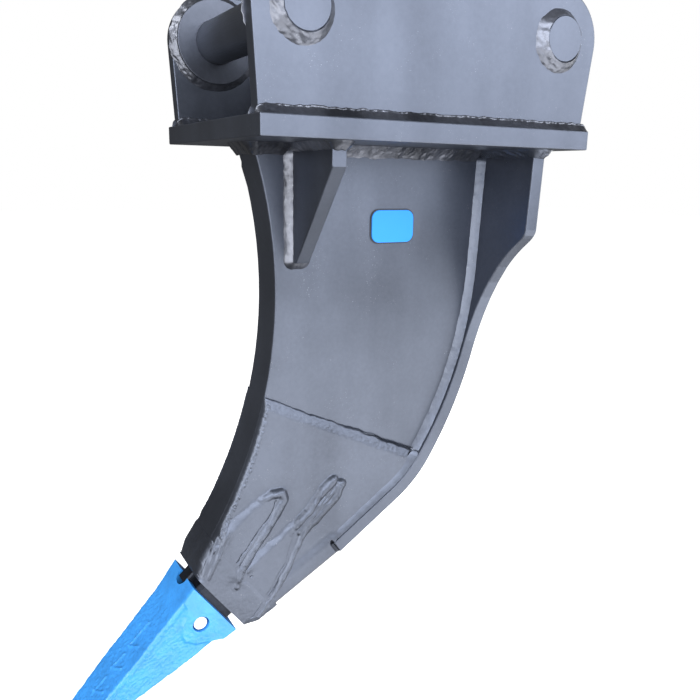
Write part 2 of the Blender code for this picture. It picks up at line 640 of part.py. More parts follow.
def make_pin_retainer(nose_frame):
    """Split ring in the nose's right-hand recess."""
    half_gap = radians(RING_OPENING) / 2
    outline = arc_points((0.0, 0.0), RING_OUTER_RADIUS, half_gap, 2 * pi - half_gap, RING_STEPS)
    outline += arc_points((0.0, 0.0), RING_INNER_RADIUS, 2 * pi - half_gap, half_gap, RING_STEPS)
    y_from = -ring_inner_face()
    ring = side_plate("pin_retainer", outline, y_from, y_from - RING_THICKNESS, SPRING_STEEL)
    bevel(ring, RING_EASE, 1)
    ring.parent = nose_frame
    ring.location = (PIN_SETBACK, 0.0, 0.0)


def make_badge():
    """Blank plate on the shank's left side."""
    half_w = BADGE_WIDTH / 2 - BADGE_CORNER
    half_h = BADGE_HEIGHT / 2 - BADGE_CORNER
    outline = []
    for quarter, (sx, sz) in enumerate(((1, 1), (-1, 1), (-1, -1), (1, -1))):
        outline += arc_points((BADGE_X + sx * half_w, BADGE_Z + sz * half_h), BADGE_CORNER,
                              quarter * pi / 2, (quarter + 1) * pi / 2, CORNER_STEPS)
    face_y = -SHANK_SIDE_Y - GAP
    badge = side_plate("badge", outline, face_y, face_y - BADGE_THICKNESS, BADGE_BLUE)
    bevel(badge, BADGE_EASE)


def main():
    for old in list(bpy.data.objects):
        bpy.data.objects.remove(old, do_unlink=True)
    make_base_plate()
    make_hitch()
    make_shank()
    make_rear_flange()
    make_gussets()
    make_wear_plates()
    nose_frame = bpy.data.objects.new("nose_frame", None)
    bpy.context.scene.collection.objects.link(nose_frame)
    nose_frame.location = (NOSE_X, 0.0, NOSE_Z)
    nose_frame.rotation_euler = (0.0, NOSE_TILT, pi)
    make_adaptor(nose_frame)
    make_tooth_point(nose_frame)
    make_retaining_pin(nose_frame)
    make_pin_retainer(nose_frame)
    make_badge()
    base_frame = bpy.data.objects.new("base_frame", None)
    for piece in bpy.data.objects:
        if piece.parent is None and piece is not base_frame:
            piece.parent = base_frame
    bpy.context.scene.collection.objects.link(base_frame)
    base_frame.location = (-(FRONT_PIN_X + REAR_PIN_X) / 2, 0.0, -HITCH_PIN_HEIGHT)


main()
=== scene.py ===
"""Single-shank excavator ripper: paint, weld beads, castings and a plain studio.

World frame: metres, +Z up, origin midway between the hitch pins, -X the front, -Y the
left side. Pieces are worked out in a base frame, whose origin is the middle of the base
plate's top face, and the lower castings in a nose frame: u runs out along the point, v up
across its front face, both from the point's rear end in the middle plane.
"""
from math import cos, pi, radians, sin

import bmesh
import bpy
import numpy as np
from bpy.props import FloatProperty, FloatVectorProperty, IntProperty, PointerProperty
from mathutils import Matrix, Vector


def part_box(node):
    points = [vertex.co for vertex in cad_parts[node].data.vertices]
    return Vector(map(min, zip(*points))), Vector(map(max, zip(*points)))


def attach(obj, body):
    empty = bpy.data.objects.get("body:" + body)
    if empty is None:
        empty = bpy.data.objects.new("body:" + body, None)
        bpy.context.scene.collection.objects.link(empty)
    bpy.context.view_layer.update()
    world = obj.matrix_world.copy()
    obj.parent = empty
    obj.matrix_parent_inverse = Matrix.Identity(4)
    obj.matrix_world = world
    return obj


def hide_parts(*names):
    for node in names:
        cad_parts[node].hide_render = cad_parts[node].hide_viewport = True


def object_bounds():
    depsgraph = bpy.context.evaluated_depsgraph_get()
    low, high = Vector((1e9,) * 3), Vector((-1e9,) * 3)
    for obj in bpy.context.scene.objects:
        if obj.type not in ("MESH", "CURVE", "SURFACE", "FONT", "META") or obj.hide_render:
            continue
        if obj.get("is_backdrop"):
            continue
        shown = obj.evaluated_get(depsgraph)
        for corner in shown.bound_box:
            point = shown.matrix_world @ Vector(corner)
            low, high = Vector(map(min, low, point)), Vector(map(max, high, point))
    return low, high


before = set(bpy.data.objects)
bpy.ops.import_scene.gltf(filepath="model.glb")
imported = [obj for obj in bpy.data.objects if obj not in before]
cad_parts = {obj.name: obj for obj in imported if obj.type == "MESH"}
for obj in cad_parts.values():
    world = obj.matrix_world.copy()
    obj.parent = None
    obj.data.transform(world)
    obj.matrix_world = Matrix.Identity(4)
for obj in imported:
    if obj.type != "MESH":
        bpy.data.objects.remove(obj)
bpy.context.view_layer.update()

bl_info = {
    "name": "Ripper finish",
    "version": (1, 0, 0),
    "blender": (4, 5, 0),
    "location": "View3D > Sidebar > Ripper",
    "description": "Welds, castings, paint and a studio for a single-shank ripper",
    "category": "Object",
}

ROOT = "shank_assembly"
LEFT, RIGHT = -1.0, 1.0          # signs of Y on each side
MM = 0.001


def corners_of(node):
    """A node's low and high corners in the base frame."""
    return [np.array(corner) - BASE_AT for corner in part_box(node)]


# Places read from the frame
BASE_AT = np.array([(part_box("base_plate")[0][0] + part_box("base_plate")[1][0]) / 2, 0.0,
                    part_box("base_plate")[1][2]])
EAR_LOW, EAR_HIGH = corners_of("left_ear")
GUSSET_LOW, GUSSET_HIGH = corners_of("left_gusset")
FLANGE_HIGH = corners_of("rear_flange")[1]
BADGE_LOW, BADGE_HIGH = corners_of("badge")
PIN_BOXES = {place: corners_of(place + "_hitch_pin") for place in ("front", "rear")}
PIN_CENTRES = {place: (box[0] + box[1]) / 2 for place, box in PIN_BOXES.items()}
PIN_RADIUS = (PIN_BOXES["front"][1][0] - PIN_BOXES["front"][0][0]) / 2
BOSS_LOW, BOSS_HIGH = corners_of("front_left_boss")
BOSS_RADIUS = (BOSS_HIGH[0] - BOSS_LOW[0]) / 2
EAR_OUTER_Y = -EAR_LOW[1]
EAR_INNER_Y = -EAR_HIGH[1]
UNDERSIDE_Z = corners_of("base_plate")[0][2]
SHANK_SIDE_Y = corners_of("shank_plate")[1][1]
WEAR_FACE_Y = 0.0384            # outer face of the wear plates

# Nose frame
NOSE_X, NOSE_Z, NOSE_TILT = -0.2635, -0.6637, radians(36.5)
ALONG_U = np.array([-cos(NOSE_TILT), 0.0, -sin(NOSE_TILT)])
ALONG_V = np.array([-sin(NOSE_TILT), 0.0, cos(NOSE_TILT)])

# Shank edges: the front arc, and the flange's front face as a line and arcs
FRONT_ARC = dict(start=(-0.1944, -0.025), angle=-18.0, parts=[("arc", 0.634, 42.0)])
FLANGE_FACE = dict(start=(0.1786, -0.025), angle=2.9,
                   parts=[("line", 0.1696), ("arc", 0.5957, 33.0), ("arc", 0.178, 56.0),
                          ("line", 0.121)])
SEAM = ((-0.178, -0.367), (0.069, -0.485))     # line of the weld over the wear plate, x and z

# Adaptor's relief, in millimetres in the nose frame. Heights are from the middle plane.
RELIEF_BACK = 29.4              # the relief's closed back, inside the shank's face
SEAM_FOOT, SEAM_LEVEL = 30.0, 32.7
FRONT_LEG = ((-56, 71), (-120, 71), (-161, 67), (-174, 58), (-160, 50), (-110, 39), (-56, 26))
REAR_LEG = ((-56, 7), (-105, 4), (-153, 3), (-159, -3), (-153, -10), (-105, -34), (-56, -49))
FRONT_GROOVE = ((-160, 60), (-147, 51), (-116, 45), (-84, 36), (-60, 31))
REAR_GROOVE = ((-150, -2), (-114, -29), (-53, -49), (-29, -54), (-14, -52))
FRONT_BEAD = ((-146, 74), (-164, 71), (-174, 62), (-170, 52), (-150, 43), (-122, 35), (-88, 25),
              (-62, 17), (-42, 2))
REAR_BEAD = ((-175, -8), (-150, -20), (-134, -27), (-112, -39), (-84, -50), (-60, -57), (-34, -61))
FINGER_FRONT = ((-146, 0), (-185, 5), (-220, 14), (-245, 14))
FINGER_REAR = ((-160, -14), (-200, -10), (-235, -8), (-250, 1))
FINGER_MIDDLE = ((-238, 4), (-215, 0), (-190, -3), (-160, -8))
FINGER_CREVICE = ((-240, 7), (-226, 4), (-214, 1), (-206, -2))
FRONT_EDGE_LINE = ((-152, 79), (-118, 84), (-84, 90), (-62, 94))
REAR_EDGE_LINE = ((-166, 8), (-130, 13), (-95, 16), (-66, 19))
CROTCH_CRACK = ((-60, 12), (-53, 6), (-55, 0), (-66, -3))
# Legs: outline, own middle line, slope widths above and below that line
LEGS = ((FRONT_LEG, ((-174, 58), (-60, 50)), (20.0, 6.0)),
        (REAR_LEG, ((-159, -3), (-60, -20)), (15.0, 6.0)))
# Beads: line, half width, crown at each end
BEADS = ((FRONT_BEAD, 11.0, 46.4, 50.2), (REAR_BEAD, 9.5, 47.4, 49.0),
         (FINGER_FRONT, 10.0, 47.2, 46.6), (FINGER_REAR, 10.5, 46.8, 47.4),
         (FINGER_MIDDLE, 11.0, 46.0, 46.6))
FADED_BEADS, TAPERED_BEAD = (0, 2), 1
# Grooves: line, depth, width
GROOVES = ((FRONT_GROOVE, 2.4, 1.0), (REAR_GROOVE, 1.2, 0.9), (FINGER_CREVICE, 1.8, 1.2),
           (CROTCH_CRACK, 1.6, 1.0), (FRONT_EDGE_LINE, 0.5, 0.8), (REAR_EDGE_LINE, 0.4, 0.8))
HOLLOWS = ((-40, 3, 10, 13, 2.0), (-64, 2, 9, 5, 1.2))      # u, v, width, height, depth

# Point, in millimetres in the nose frame
POINT_LENGTH = 245.0
PIN_HOLE_U, PIN_HOLE_RADIUS = 27.0, 11.9
NOTCH_RADIUS = 15.5
PAD_BORDER = ((-8, 60), (22, 47), (26, 34), (34, 25), (46, 18), (56, 6), (59, -4), (52, -19),
              (38, -32), (24, -43), (14, -60), (-20, -60))
RIB_PAIRS = ((121.0, 42.0), (157.0, 26.0), (194.0, 26.0))   # u of each pair's tip, length

# Camera and lights, in the base frame
CAMERA_AT = (-0.55857, -0.94848, -0.06529)
CAMERA_FORWARD, CAMERA_RIGHT = (0.4748, 0.8498, -0.2288), (0.8749, -0.4839, 0.0180)
LIGHTS_AIM, LIGHTS_AWAY = (-0.02, 0.0, -0.32), 2.6
BLUISH, WHITE = (0.95, 0.985, 1.05), (1.0, 1.0, 1.0)


# ---------------------------------------------------------------- number work

def cell_number(i, j, seed):
    """A fixed number from 0 to 1 for each whole pair: the fraction left by a large sine."""
    n = np.sin(i * 127.1 + j * 311.7 + seed * 74.7) * 43758.5453
    return n - np.floor(n)


def lumps(x, y, seed):
    """Smooth noise from -1 to 1: each cell's four corner numbers, blended by 3t^2 - 2t^3."""
    i, j = np.floor(x), np.floor(y)
    s, t = x - i, y - j
    s, t = s * s * (3 - 2 * s), t * t * (3 - 2 * t)
    low = cell_number(i, j, seed) * (1 - s) + cell_number(i + 1, j, seed) * s
    high = cell_number(i, j + 1, seed) * (1 - s) + cell_number(i + 1, j + 1, seed) * s
    return 2 * (low * (1 - t) + high * t) - 1


def rough(x, y, seed, octaves=3):
    """Layers of lumps, each twice as fine and half as strong as the one before."""
    x, y = np.broadcast_arrays(np.asarray(x, float), np.asarray(y, float))
    total = np.zeros(x.shape)
    for k in range(octaves):
        total += lumps(x * 2 ** k, y * 2 ** k, seed + 13 * k) / 2 ** k
    return total


def ease(t):
    """0 below 0, 1 above 1, and 3t^2 - 2t^3 between."""
    t = np.clip(t, 0.0, 1.0)
    return t * t * (3 - 2 * t)


def blend_max(a, b, soft):
    """The larger of two heights, rounded over a distance soft where they cross."""
    h = np.clip(0.5 + 0.5 * (a - b) / soft, 0.0, 1.0)
    return b * (1 - h) + a * h + soft * h * (1 - h)


def from_line(x, y, line):
    """Distance from each place to a polyline, and how far along the line the nearest point is."""
    line = np.array(line, float)
    best = np.full(np.shape(x), 1e9)
    along = np.zeros(np.shape(x))
    done = 0.0
    for a, b in zip(line, line[1:]):
        step = b - a
        length = np.hypot(*step)
        t = np.clip(((x - a[0]) * step[0] + (y - a[1]) * step[1]) / length ** 2, 0.0, 1.0)
        d = np.hypot(x - a[0] - t * step[0], y - a[1] - t * step[1])
        nearer = d < best
        best = np.where(nearer, d, best)
        along = np.where(nearer, done + t * length, along)
        done += length
    return best, along


def inside_by(x, y, outline):
    """Signed distance to a closed outline, positive inside."""
    closed = list(outline) + [outline[0]]
    distance, _ = from_line(x, y, closed)
    odd = np.zeros(np.shape(x), bool)
    for (ax, ay), (bx, by) in zip(closed, closed[1:]):
        if ay == by:
            continue
        crosses = (ay > y) != (by > y)
        odd ^= crosses & (x < ax + (y - ay) * (bx - ax) / (by - ay))
    return np.where(odd, distance, -distance)


def tangent_path(start, angle, parts, spacing=0.002):
    """Evenly spaced x, z and heading of a smooth chain of lines and arcs curving to the front.

    Headings are from straight down. An arc of radius r turns about a centre r to the front.
    """
    x, z = start
    turn = radians(angle)
    rows = [(x, z, turn)]
    for part in parts:
        if part[0] == "line":
            count = max(2, round(part[1] / spacing))
            t = np.linspace(0, part[1], count + 1)[1:]
            rows += list(zip(x - t * sin(turn), z - t * cos(turn), np.full(count, turn)))
        else:
            radius, end = part[1], radians(part[2])
            count = max(2, round(radius * (end - turn) / spacing))
            t = np.linspace(turn, end, count + 1)[1:]
            cx, cz = x - radius * cos(turn), z + radius * sin(turn)
            rows += list(zip(cx + radius * np.cos(t), cz - radius * np.sin(t), t))
            turn = end
        x, z = rows[-1][0], rows[-1][1]
    return np.array(rows)


def to_nose(x, z):
    """Nose-frame u and v, in millimetres, of world x and z."""
    dx, dz = x - NOSE_X, z - NOSE_Z
    return np.stack([dx * ALONG_U[0] + dz * ALONG_U[2], dx * ALONG_V[0] + dz * ALONG_V[2]],
                    axis=-1) / MM


def from_nose(u, y, v):
    """World points of nose-frame u and v, and y, in metres."""
    u, y, v = np.broadcast_arrays(u, y, v)
    return (np.array([NOSE_X, 0.0, NOSE_Z]) + u[..., None] * ALONG_U + v[..., None] * ALONG_V
            + y[..., None] * np.array([0.0, 1.0, 0.0]))


def spaced(points, spacing, loop=False):
    """A polyline resampled at equal steps of its length."""
    points = np.array(points, float)
    if loop:
        points = np.vstack([points, points[:1]])
    steps = np.linalg.norm(np.diff(points, axis=0), axis=1)
    length = np.concatenate([[0.0], np.cumsum(steps)])
    count = max(4, int(round(length[-1] / spacing)))
    at = np.linspace(0.0, length[-1], count + 1)
    if loop:
        at = at[:-1]
    return np.stack([np.interp(at, length, points[:, k]) for k in range(points.shape[1])], axis=1)


# ---------------------------------------------------------------- mesh work

def grid_quads(rows, cols, wrap_rows=False, wrap_cols=True):
    """Quads of a rows by cols grid of points; a wrap joins the last line to the first."""
    i = np.arange(rows if wrap_rows else rows - 1)
    j = np.arange(cols if wrap_cols else cols - 1)
    i, j = np.meshgrid(i, j, indexing="ij")
    p, q = (i + 1) % rows, (j + 1) % cols
    return np.stack([i * cols + j, i * cols + q, p * cols + q, p * cols + j], -1).reshape(-1, 4)


def joined(solids):
    """Several (points, quads, caps) solids as one."""
    points, quads, caps, start = [], [], [], 0
    for p, q, c in solids:
        points.append(p)
        quads.append(q + start)
        caps += [[k + start for k in cap] for cap in c]
        start += len(p)
    return np.vstack(points), np.vstack(quads), caps


def lofted(rings, loop=False):
    """A solid through rings of equal count; a loop joins the last ring to the first."""
    rings = np.array(rings, float)
    n, m = rings.shape[:2]
    caps = [] if loop else [list(range(m))[::-1], list(range((n - 1) * m, n * m))]
    return rings.reshape(-1, 3), grid_quads(n, m, wrap_rows=loop), caps


def outward_mesh(name, solid, shift=(0.0, 0.0, 0.0)):
    """A mesh from (points, quads, caps), moved by shift, with its faces turned outwards."""
    points, quads, caps = solid
    mesh = bpy.data.meshes.new(name)
    mesh.from_pydata(points.tolist(), [], quads.tolist() + [list(c) for c in caps])
    return turned_outwards(mesh, shift)


def turned_outwards(mesh, shift):
    """The same mesh, moved by shift, with its faces turned outwards."""
    bm = bmesh.new()
    bm.from_mesh(mesh)
    bmesh.ops.translate(bm, verts=bm.verts, vec=Vector(shift))
    bmesh.ops.recalc_face_normals(bm, faces=bm.faces)
    bm.to_mesh(mesh)
    bm.free()
    return mesh


def place_mesh(mesh, material, body=ROOT, sharp=38.0):
    """Make the object of a finished mesh, shaded smooth, riding on a body."""
    mesh.shade_smooth()
    mesh.set_sharp_from_angle(angle=radians(sharp))
    mesh.materials.clear()
    mesh.materials.append(material)
    piece = bpy.data.objects.new(mesh.name, mesh)
    bpy.context.scene.collection.objects.link(piece)
    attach(piece, body)
    return piece


def add_piece(name, solid, material, sharp=38.0):
    """Make an object from base-frame (points, quads, caps), riding on the shank."""
    return place_mesh(outward_mesh(name, solid, BASE_AT), material, sharp=sharp)


def weld_bead(path, side_a, side_b, leg_a, leg_b, seed, bulge=0.1, grain=0.05, loop=False,
              cells=14, embed=0.0018, pitch=0.0045, slant=0.0, lip=0.0, waver=0.08):
    """A weld bead along a path: a face from one leg's toe to the other's, closed behind.

    At fraction t across it, the face is the corner + a (1 - t) leg_a + b t leg_b, pushed out
    along a + b by bulge * 4t(1 - t), with lumps and ripples that are bowed or slanting. Legs
    waver along the path, a lip may stand out along a at b's toe, and an open bead's ends
    shrink on a quarter circle.
    """
    n = len(path)
    side_a = np.broadcast_to(side_a, (n, 3))
    side_b = np.broadcast_to(side_b, (n, 3))
    step = np.linalg.norm(np.diff(path, axis=0), axis=1)
    s = np.concatenate([[0.0], np.cumsum(step)])
    if loop:
        turn = 2 * pi * np.arange(n) / n
        reach = s[-1] / (2 * pi)
        sx, sy = reach * np.cos(turn), reach * np.sin(turn)
        end = np.ones(n)
    else:
        sx, sy = s, np.zeros(n)
        size = max(np.max(leg_a), np.max(leg_b))
        near = np.minimum(s, s[-1] - s) / size
        end = np.sqrt(1 - (1 - np.clip(near, 0.0, 1.0)) ** 2) * 0.96 + 0.04
    fine = 1 / (9 * MM)
    wa = leg_a * end * (1 + waver * rough(sx * fine, sy * fine, seed))
    wb = leg_b * end * (1 + waver * rough(sx * fine, sy * fine, seed + 5))
    t = np.linspace(0.0, 1.0, cells)
    out = side_a + side_b
    out = out / np.linalg.norm(out, axis=1)[:, None]
    dome = 4 * t * (1 - t)
    leg = (0.5 * (wa + wb))[:, None]
    bow = slant * t + (0.0 if slant else 0.9) * (2 * t - 1) ** 2
    ripple = np.abs(np.sin(pi * (s[:, None] / pitch + bow)))
    lift = leg * (bulge * dome + grain * np.sqrt(dome) * (
        rough(sx[:, None] / (6 * MM) + 2.1 * t, sy[:, None] / (6 * MM) + 3.3 * t, seed + 9, 2)
        + 0.8 * ripple - 0.3))
    face = (path[:, None] + side_a[:, None] * (wa[:, None] * (1 - t))[..., None]
            + side_b[:, None] * (wb[:, None] * t)[..., None] + out[:, None] * lift[..., None])
    edge = lip * end * (1 + 0.6 * rough(sx / (3 * MM), sy / (3 * MM), seed + 21))
    face = face + side_a[:, None] * (edge[:, None] * ease((t - 0.80) / 0.12))[..., None]
    back = path - out * embed
    first = face[:, :1] - out[:, None] * embed * 0.6
    last = face[:, -1:] - side_a[:, None] * edge[:, None, None] - out[:, None] * embed * 0.6
    return lofted(np.concatenate([first, face, last, back[:, None]], axis=1), loop)


def corner_path(corners, radius, axis, spacing=0.0015, loop=False):
    """A path along straight runs with rounded corners, and the outward side at each point.

    The corners lie in one plane with the given normal; outwards is the path's direction
    crossed with it. A corner is an arc that starts radius before it and ends radius after.
    """
    corners = [np.array(c, float) for c in corners]
    count = len(corners)
    dense = []
    for k in range(count):
        here = corners[k]
        if not loop and k in (0, count - 1):
            dense.append(here)
            continue
        before, after = corners[k - 1], corners[(k + 1) % count]
        a = here + (before - here) / np.linalg.norm(before - here) * radius
        b = here + (after - here) / np.linalg.norm(after - here) * radius
        for t in np.linspace(0.0, 1.0, 7):
            dense.append(a * (1 - t) ** 2 + 2 * here * t * (1 - t) + b * t ** 2)
    path = spaced(dense, spacing, loop)
    if loop:
        heading = np.roll(path, -1, axis=0) - np.roll(path, 1, axis=0)
    else:
        heading = np.gradient(path, axis=0)
    outward = np.cross(heading, axis)
    return path, outward / np.linalg.norm(outward, axis=1)[:, None]


def relief_solid(places, height, back, side):
    """A relief over a patch: a grid of nose-frame places raised to height, with flat walls.

    Each grid point stands at its own height from the middle plane. Its outline drops
    straight to the back plane, which closes the solid.
    """
    rows, cols = height.shape
    front = from_nose(places[..., 0] * MM, side * height * MM, places[..., 1] * MM).reshape(-1, 3)
    k = np.arange(rows * cols).reshape(rows, cols)
    rim = np.concatenate([k[0, :-1], k[:-1, -1], k[-1, :0:-1], k[:0:-1, 0]])
    wall = front[rim].copy()
    wall[:, 1] = side * back * MM
    start = rows * cols
    m = len(rim)
    i = np.arange(m)
    j = (i + 1) % m
    walls = np.stack([rim[i], rim[j], start + j, start + i], -1)
    quads = np.vstack([grid_quads(rows, cols, wrap_cols=False), walls[:, ::-1]])
    return np.vstack([front, wall]), quads, [list(range(start, start + m))]


def box_section(corner_steps, side_steps):
    """One turn round a rounded box: place factors along y and v, and the corner's direction.

    A point is y = place_y (w - r) + r turn_y and v = middle + place_v (h - r) + r turn_v.
    """
    place_y, place_v, turn_y, turn_v = [], [], [], []
    for quarter in range(4):
        a = quarter * pi / 2
        sy, sv = ((1, -1), (1, 1), (-1, 1), (-1, -1))[quarter]
        ny, nv = ((1, 1), (-1, 1), (-1, -1), (1, -1))[quarter]
        t = np.arange(corner_steps) / corner_steps
        place_y += [sy] * corner_steps
        place_v += [sv] * corner_steps
        turn_y += list(np.cos(a - pi / 2 + t * pi / 2))
        turn_v += list(np.sin(a - pi / 2 + t * pi / 2))
        t = np.arange(side_steps) / side_steps
        place_y += list(sy + (ny - sy) * t)
        place_v += list(sv + (nv - sv) * t)
        turn_y += [cos(a)] * side_steps
        turn_v += [sin(a)] * side_steps
    return tuple(np.array(c, float) for c in (place_y, place_v, turn_y, turn_v))


def rounded_box(section, low, high, wide, radius):
    """The y and v of a box_section at stations with their own heights, width and corner."""
    place_y, place_v, turn_y, turn_v = section
    middle, half = (low + high) / 2, (high - low) / 2
    return (place_y * (wide - radius) + radius * turn_y,
            middle + place_v * (half - radius) + radius * turn_v)


def cut_with(name, solid, cutters):
    """A mesh of solid with the cutters taken away, worked out by Blender's exact Boolean."""
    def temporary(label, parts):
        thing = bpy.data.objects.new(label, outward_mesh(label, parts))
        bpy.context.scene.collection.objects.link(thing)
        return thing

    body = temporary(name + "_blank", solid)
    tools = [temporary(f"{name}_cutter_{k}", c) for k, c in enumerate(cutters)]
    for tool in tools:
        cut = body.modifiers.new(tool.name, "BOOLEAN")
        cut.operation, cut.solver, cut.object = "DIFFERENCE", "EXACT", tool
    bpy.context.view_layer.update()
    ready = body.evaluated_get(bpy.context.evaluated_depsgraph_get())
    mesh = bpy.data.meshes.new_from_object(ready)
    mesh.name = name
    for thing in [body] + tools:
        bpy.data.objects.remove(thing, do_unlink=True)
    return mesh


# ---------------------------------------------------------------- materials

def add_node(tree, kind, **settings):
    """A shader node with its inputs and properties set by name."""
    node = tree.nodes.new(kind)
    for key, value in settings.items():
        if key.startswith("_"):
            setattr(node, key[1:], value)
        else:
            node.inputs[key.replace("_", " ")].default_value = value
    return node


def fill(tree, socket, value):
    """Link a socket, or set it to a number or a colour."""
    if isinstance(value, bpy.types.NodeSocket):
        tree.links.new(value, socket)
    elif isinstance(value, (int, float)):
        socket.default_value = value
    else:
        socket.default_value = (*value[:3], 1.0)


def colour_mix(tree, factor, first, second):
    """A colour Mix node's result; sockets are linked and tuples are set."""
    node = add_node(tree, "ShaderNodeMix", _data_type="RGBA", _blend_type="MIX")
    for place, value in ((0, factor), (6, first), (7, second)):
        fill(tree, node.inputs[place], value)
    return node.outputs[2]


def maths(tree, operation, first, second=0.0, clamp=False):
    """A Math node's result."""
    node = add_node(tree, "ShaderNodeMath", _operation=operation, _use_clamp=clamp)
    fill(tree, node.inputs[0], first)
    fill(tree, node.inputs[1], second)
    return node.outputs[0]


def stretch(tree, value, low, high, to_low=0.0, to_high=1.0):
    """Map a value from one range to another, held at its ends."""
    node = add_node(tree, "ShaderNodeMapRange", From_Min=low, From_Max=high, To_Min=to_low,
                    To_Max=to_high)
    tree.links.new(value, node.inputs["Value"])
    return node.outputs[0]


def noise(tree, where, scale, detail=2.0, roughness=0.5, squeeze=None):
    """Noise on Object coordinates, with the space squeezed along the axes for streaks."""
    if squeeze:
        mapping = add_node(tree, "ShaderNodeMapping", Scale=squeeze)
        tree.links.new(where, mapping.inputs["Vector"])
        where = mapping.outputs[0]
    node = add_node(tree, "ShaderNodeTexNoise", Scale=scale, Detail=detail, Roughness=roughness)
    tree.links.new(where, node.inputs["Vector"])
    return node.outputs["Fac"]


def build_sprayed_paint(tree, given, result, where):
    """Sprayed paint: clouds and long runs in the colour, orange peel, specks of dust."""
    cloud = noise(tree, where, 7.0, 3.0, 0.55)
    run = noise(tree, where, 14.0, 2.0, 0.5, (1.0, 1.0, 0.18))
    fine = noise(tree, where, 160.0, 2.0, 0.6)
    speck = stretch(tree, noise(tree, where, 620.0, 1.0, 0.5), 0.70, 0.76)
    patch = stretch(tree, noise(tree, where, 24.0, 2.0, 0.5), 0.52, 0.66)
    tone = maths(tree, "ADD", stretch(tree, cloud, 0.3, 0.7, -0.5, 0.5),
                 stretch(tree, run, 0.35, 0.65, -0.35, 0.35))
    tone = maths(tree, "ADD", tone, stretch(tree, fine, 0.3, 0.7, -0.18, 0.18))
    tone = maths(tree, "MULTIPLY", tone, given["Mottle"])
    light = colour_mix(tree, stretch(tree, tone, 0.0, 0.5), given["Paint"], given["Bloom"])
    shade = colour_mix(tree, stretch(tree, tone, 0.0, -0.5), light, given["Shade"])
    dusty = maths(tree, "MULTIPLY", maths(tree, "MULTIPLY", speck, patch), given["Dust"])
    tree.links.new(colour_mix(tree, dusty, shade, (0.55, 0.57, 0.62)), result["Colour"])
    gloss = maths(tree, "MULTIPLY", tone, 0.10)
    tree.links.new(maths(tree, "ADD", given["Roughness"], gloss, clamp=True),
                   result["Roughness"])
    peel = noise(tree, where, 520.0, 1.0, 0.5)
    wave = noise(tree, where, 45.0, 2.0, 0.5)
    lump = maths(tree, "ADD", maths(tree, "MULTIPLY", peel, 0.35), wave)
    tree.links.new(lump, result["Height"])


def build_cast_skin(tree, given, result, where):
    """Sand-cast skin: pits and grains of several sizes, with paint thin on the grains."""
    grain = noise(tree, where, 420.0, 3.0, 0.6)
    coarse = noise(tree, where, 120.0, 3.0, 0.6)
    broad = noise(tree, where, 28.0, 2.0, 0.5)
    pit = add_node(tree, "ShaderNodeTexVoronoi", Scale=230.0)
    tree.links.new(where, pit.inputs["Vector"])
    hole = stretch(tree, pit.outputs["Distance"], 0.05, 0.28)
    tone = maths(tree, "ADD", stretch(tree, coarse, 0.3, 0.7, -0.3, 0.3),
                 stretch(tree, broad, 0.3, 0.7, -0.6, 0.6))
    tone = maths(tree, "MULTIPLY", tone, given["Mottle"])
    light = colour_mix(tree, stretch(tree, tone, 0.0, 0.6), given["Paint"], given["Bloom"])
    shade = colour_mix(tree, stretch(tree, tone, 0.0, -0.6), light, given["Shade"])
    tree.links.new(shade, result["Colour"])
    gloss = maths(tree, "MULTIPLY", grain, 0.16)
    tree.links.new(maths(tree, "ADD", given["Roughness"], gloss, clamp=True),
                   result["Roughness"])
    lump = maths(tree, "ADD", maths(tree, "MULTIPLY", grain, 0.6), coarse)
    tree.links.new(maths(tree, "ADD", lump, maths(tree, "MULTIPLY", hole, 0.5)),
                   result["Height"])


GROUPS = {}
EFFECT_INPUTS = (("Paint", (0.1, 0.1, 0.1, 1.0)), ("Bloom", (0.2, 0.2, 0.2, 1.0)),
                 ("Shade", (0.05, 0.05, 0.05, 1.0)), ("Mottle", 1.0), ("Roughness", 0.4),
                 ("Dust", 0.0))
EFFECT_OUTPUTS = (("Colour", "NodeSocketColor"), ("Roughness", "NodeSocketFloat"),
                  ("Height", "NodeSocketFloat"))


def surface_effect(name):
    """The shared node group of that name, built the first time it is asked for."""
    if name not in GROUPS:
        tree = bpy.data.node_groups.new(name, "ShaderNodeTree")
        for label, default in EFFECT_INPUTS:
            kind = "NodeSocketColor" if isinstance(default, tuple) else "NodeSocketFloat"
            socket = tree.interface.new_socket(label, in_out="INPUT", socket_type=kind)
            socket.default_value = default
        for label, kind in EFFECT_OUTPUTS:
            tree.interface.new_socket(label, in_out="OUTPUT", socket_type=kind)
        given = tree.nodes.new("NodeGroupInput").outputs
        result = tree.nodes.new("NodeGroupOutput").inputs
        where = tree.nodes.new("ShaderNodeTexCoord").outputs["Object"]
        {"sprayed_paint": build_sprayed_paint, "cast_skin": build_cast_skin}[name](
            tree, given, result, where)
        GROUPS[name] = tree
    return GROUPS[name]


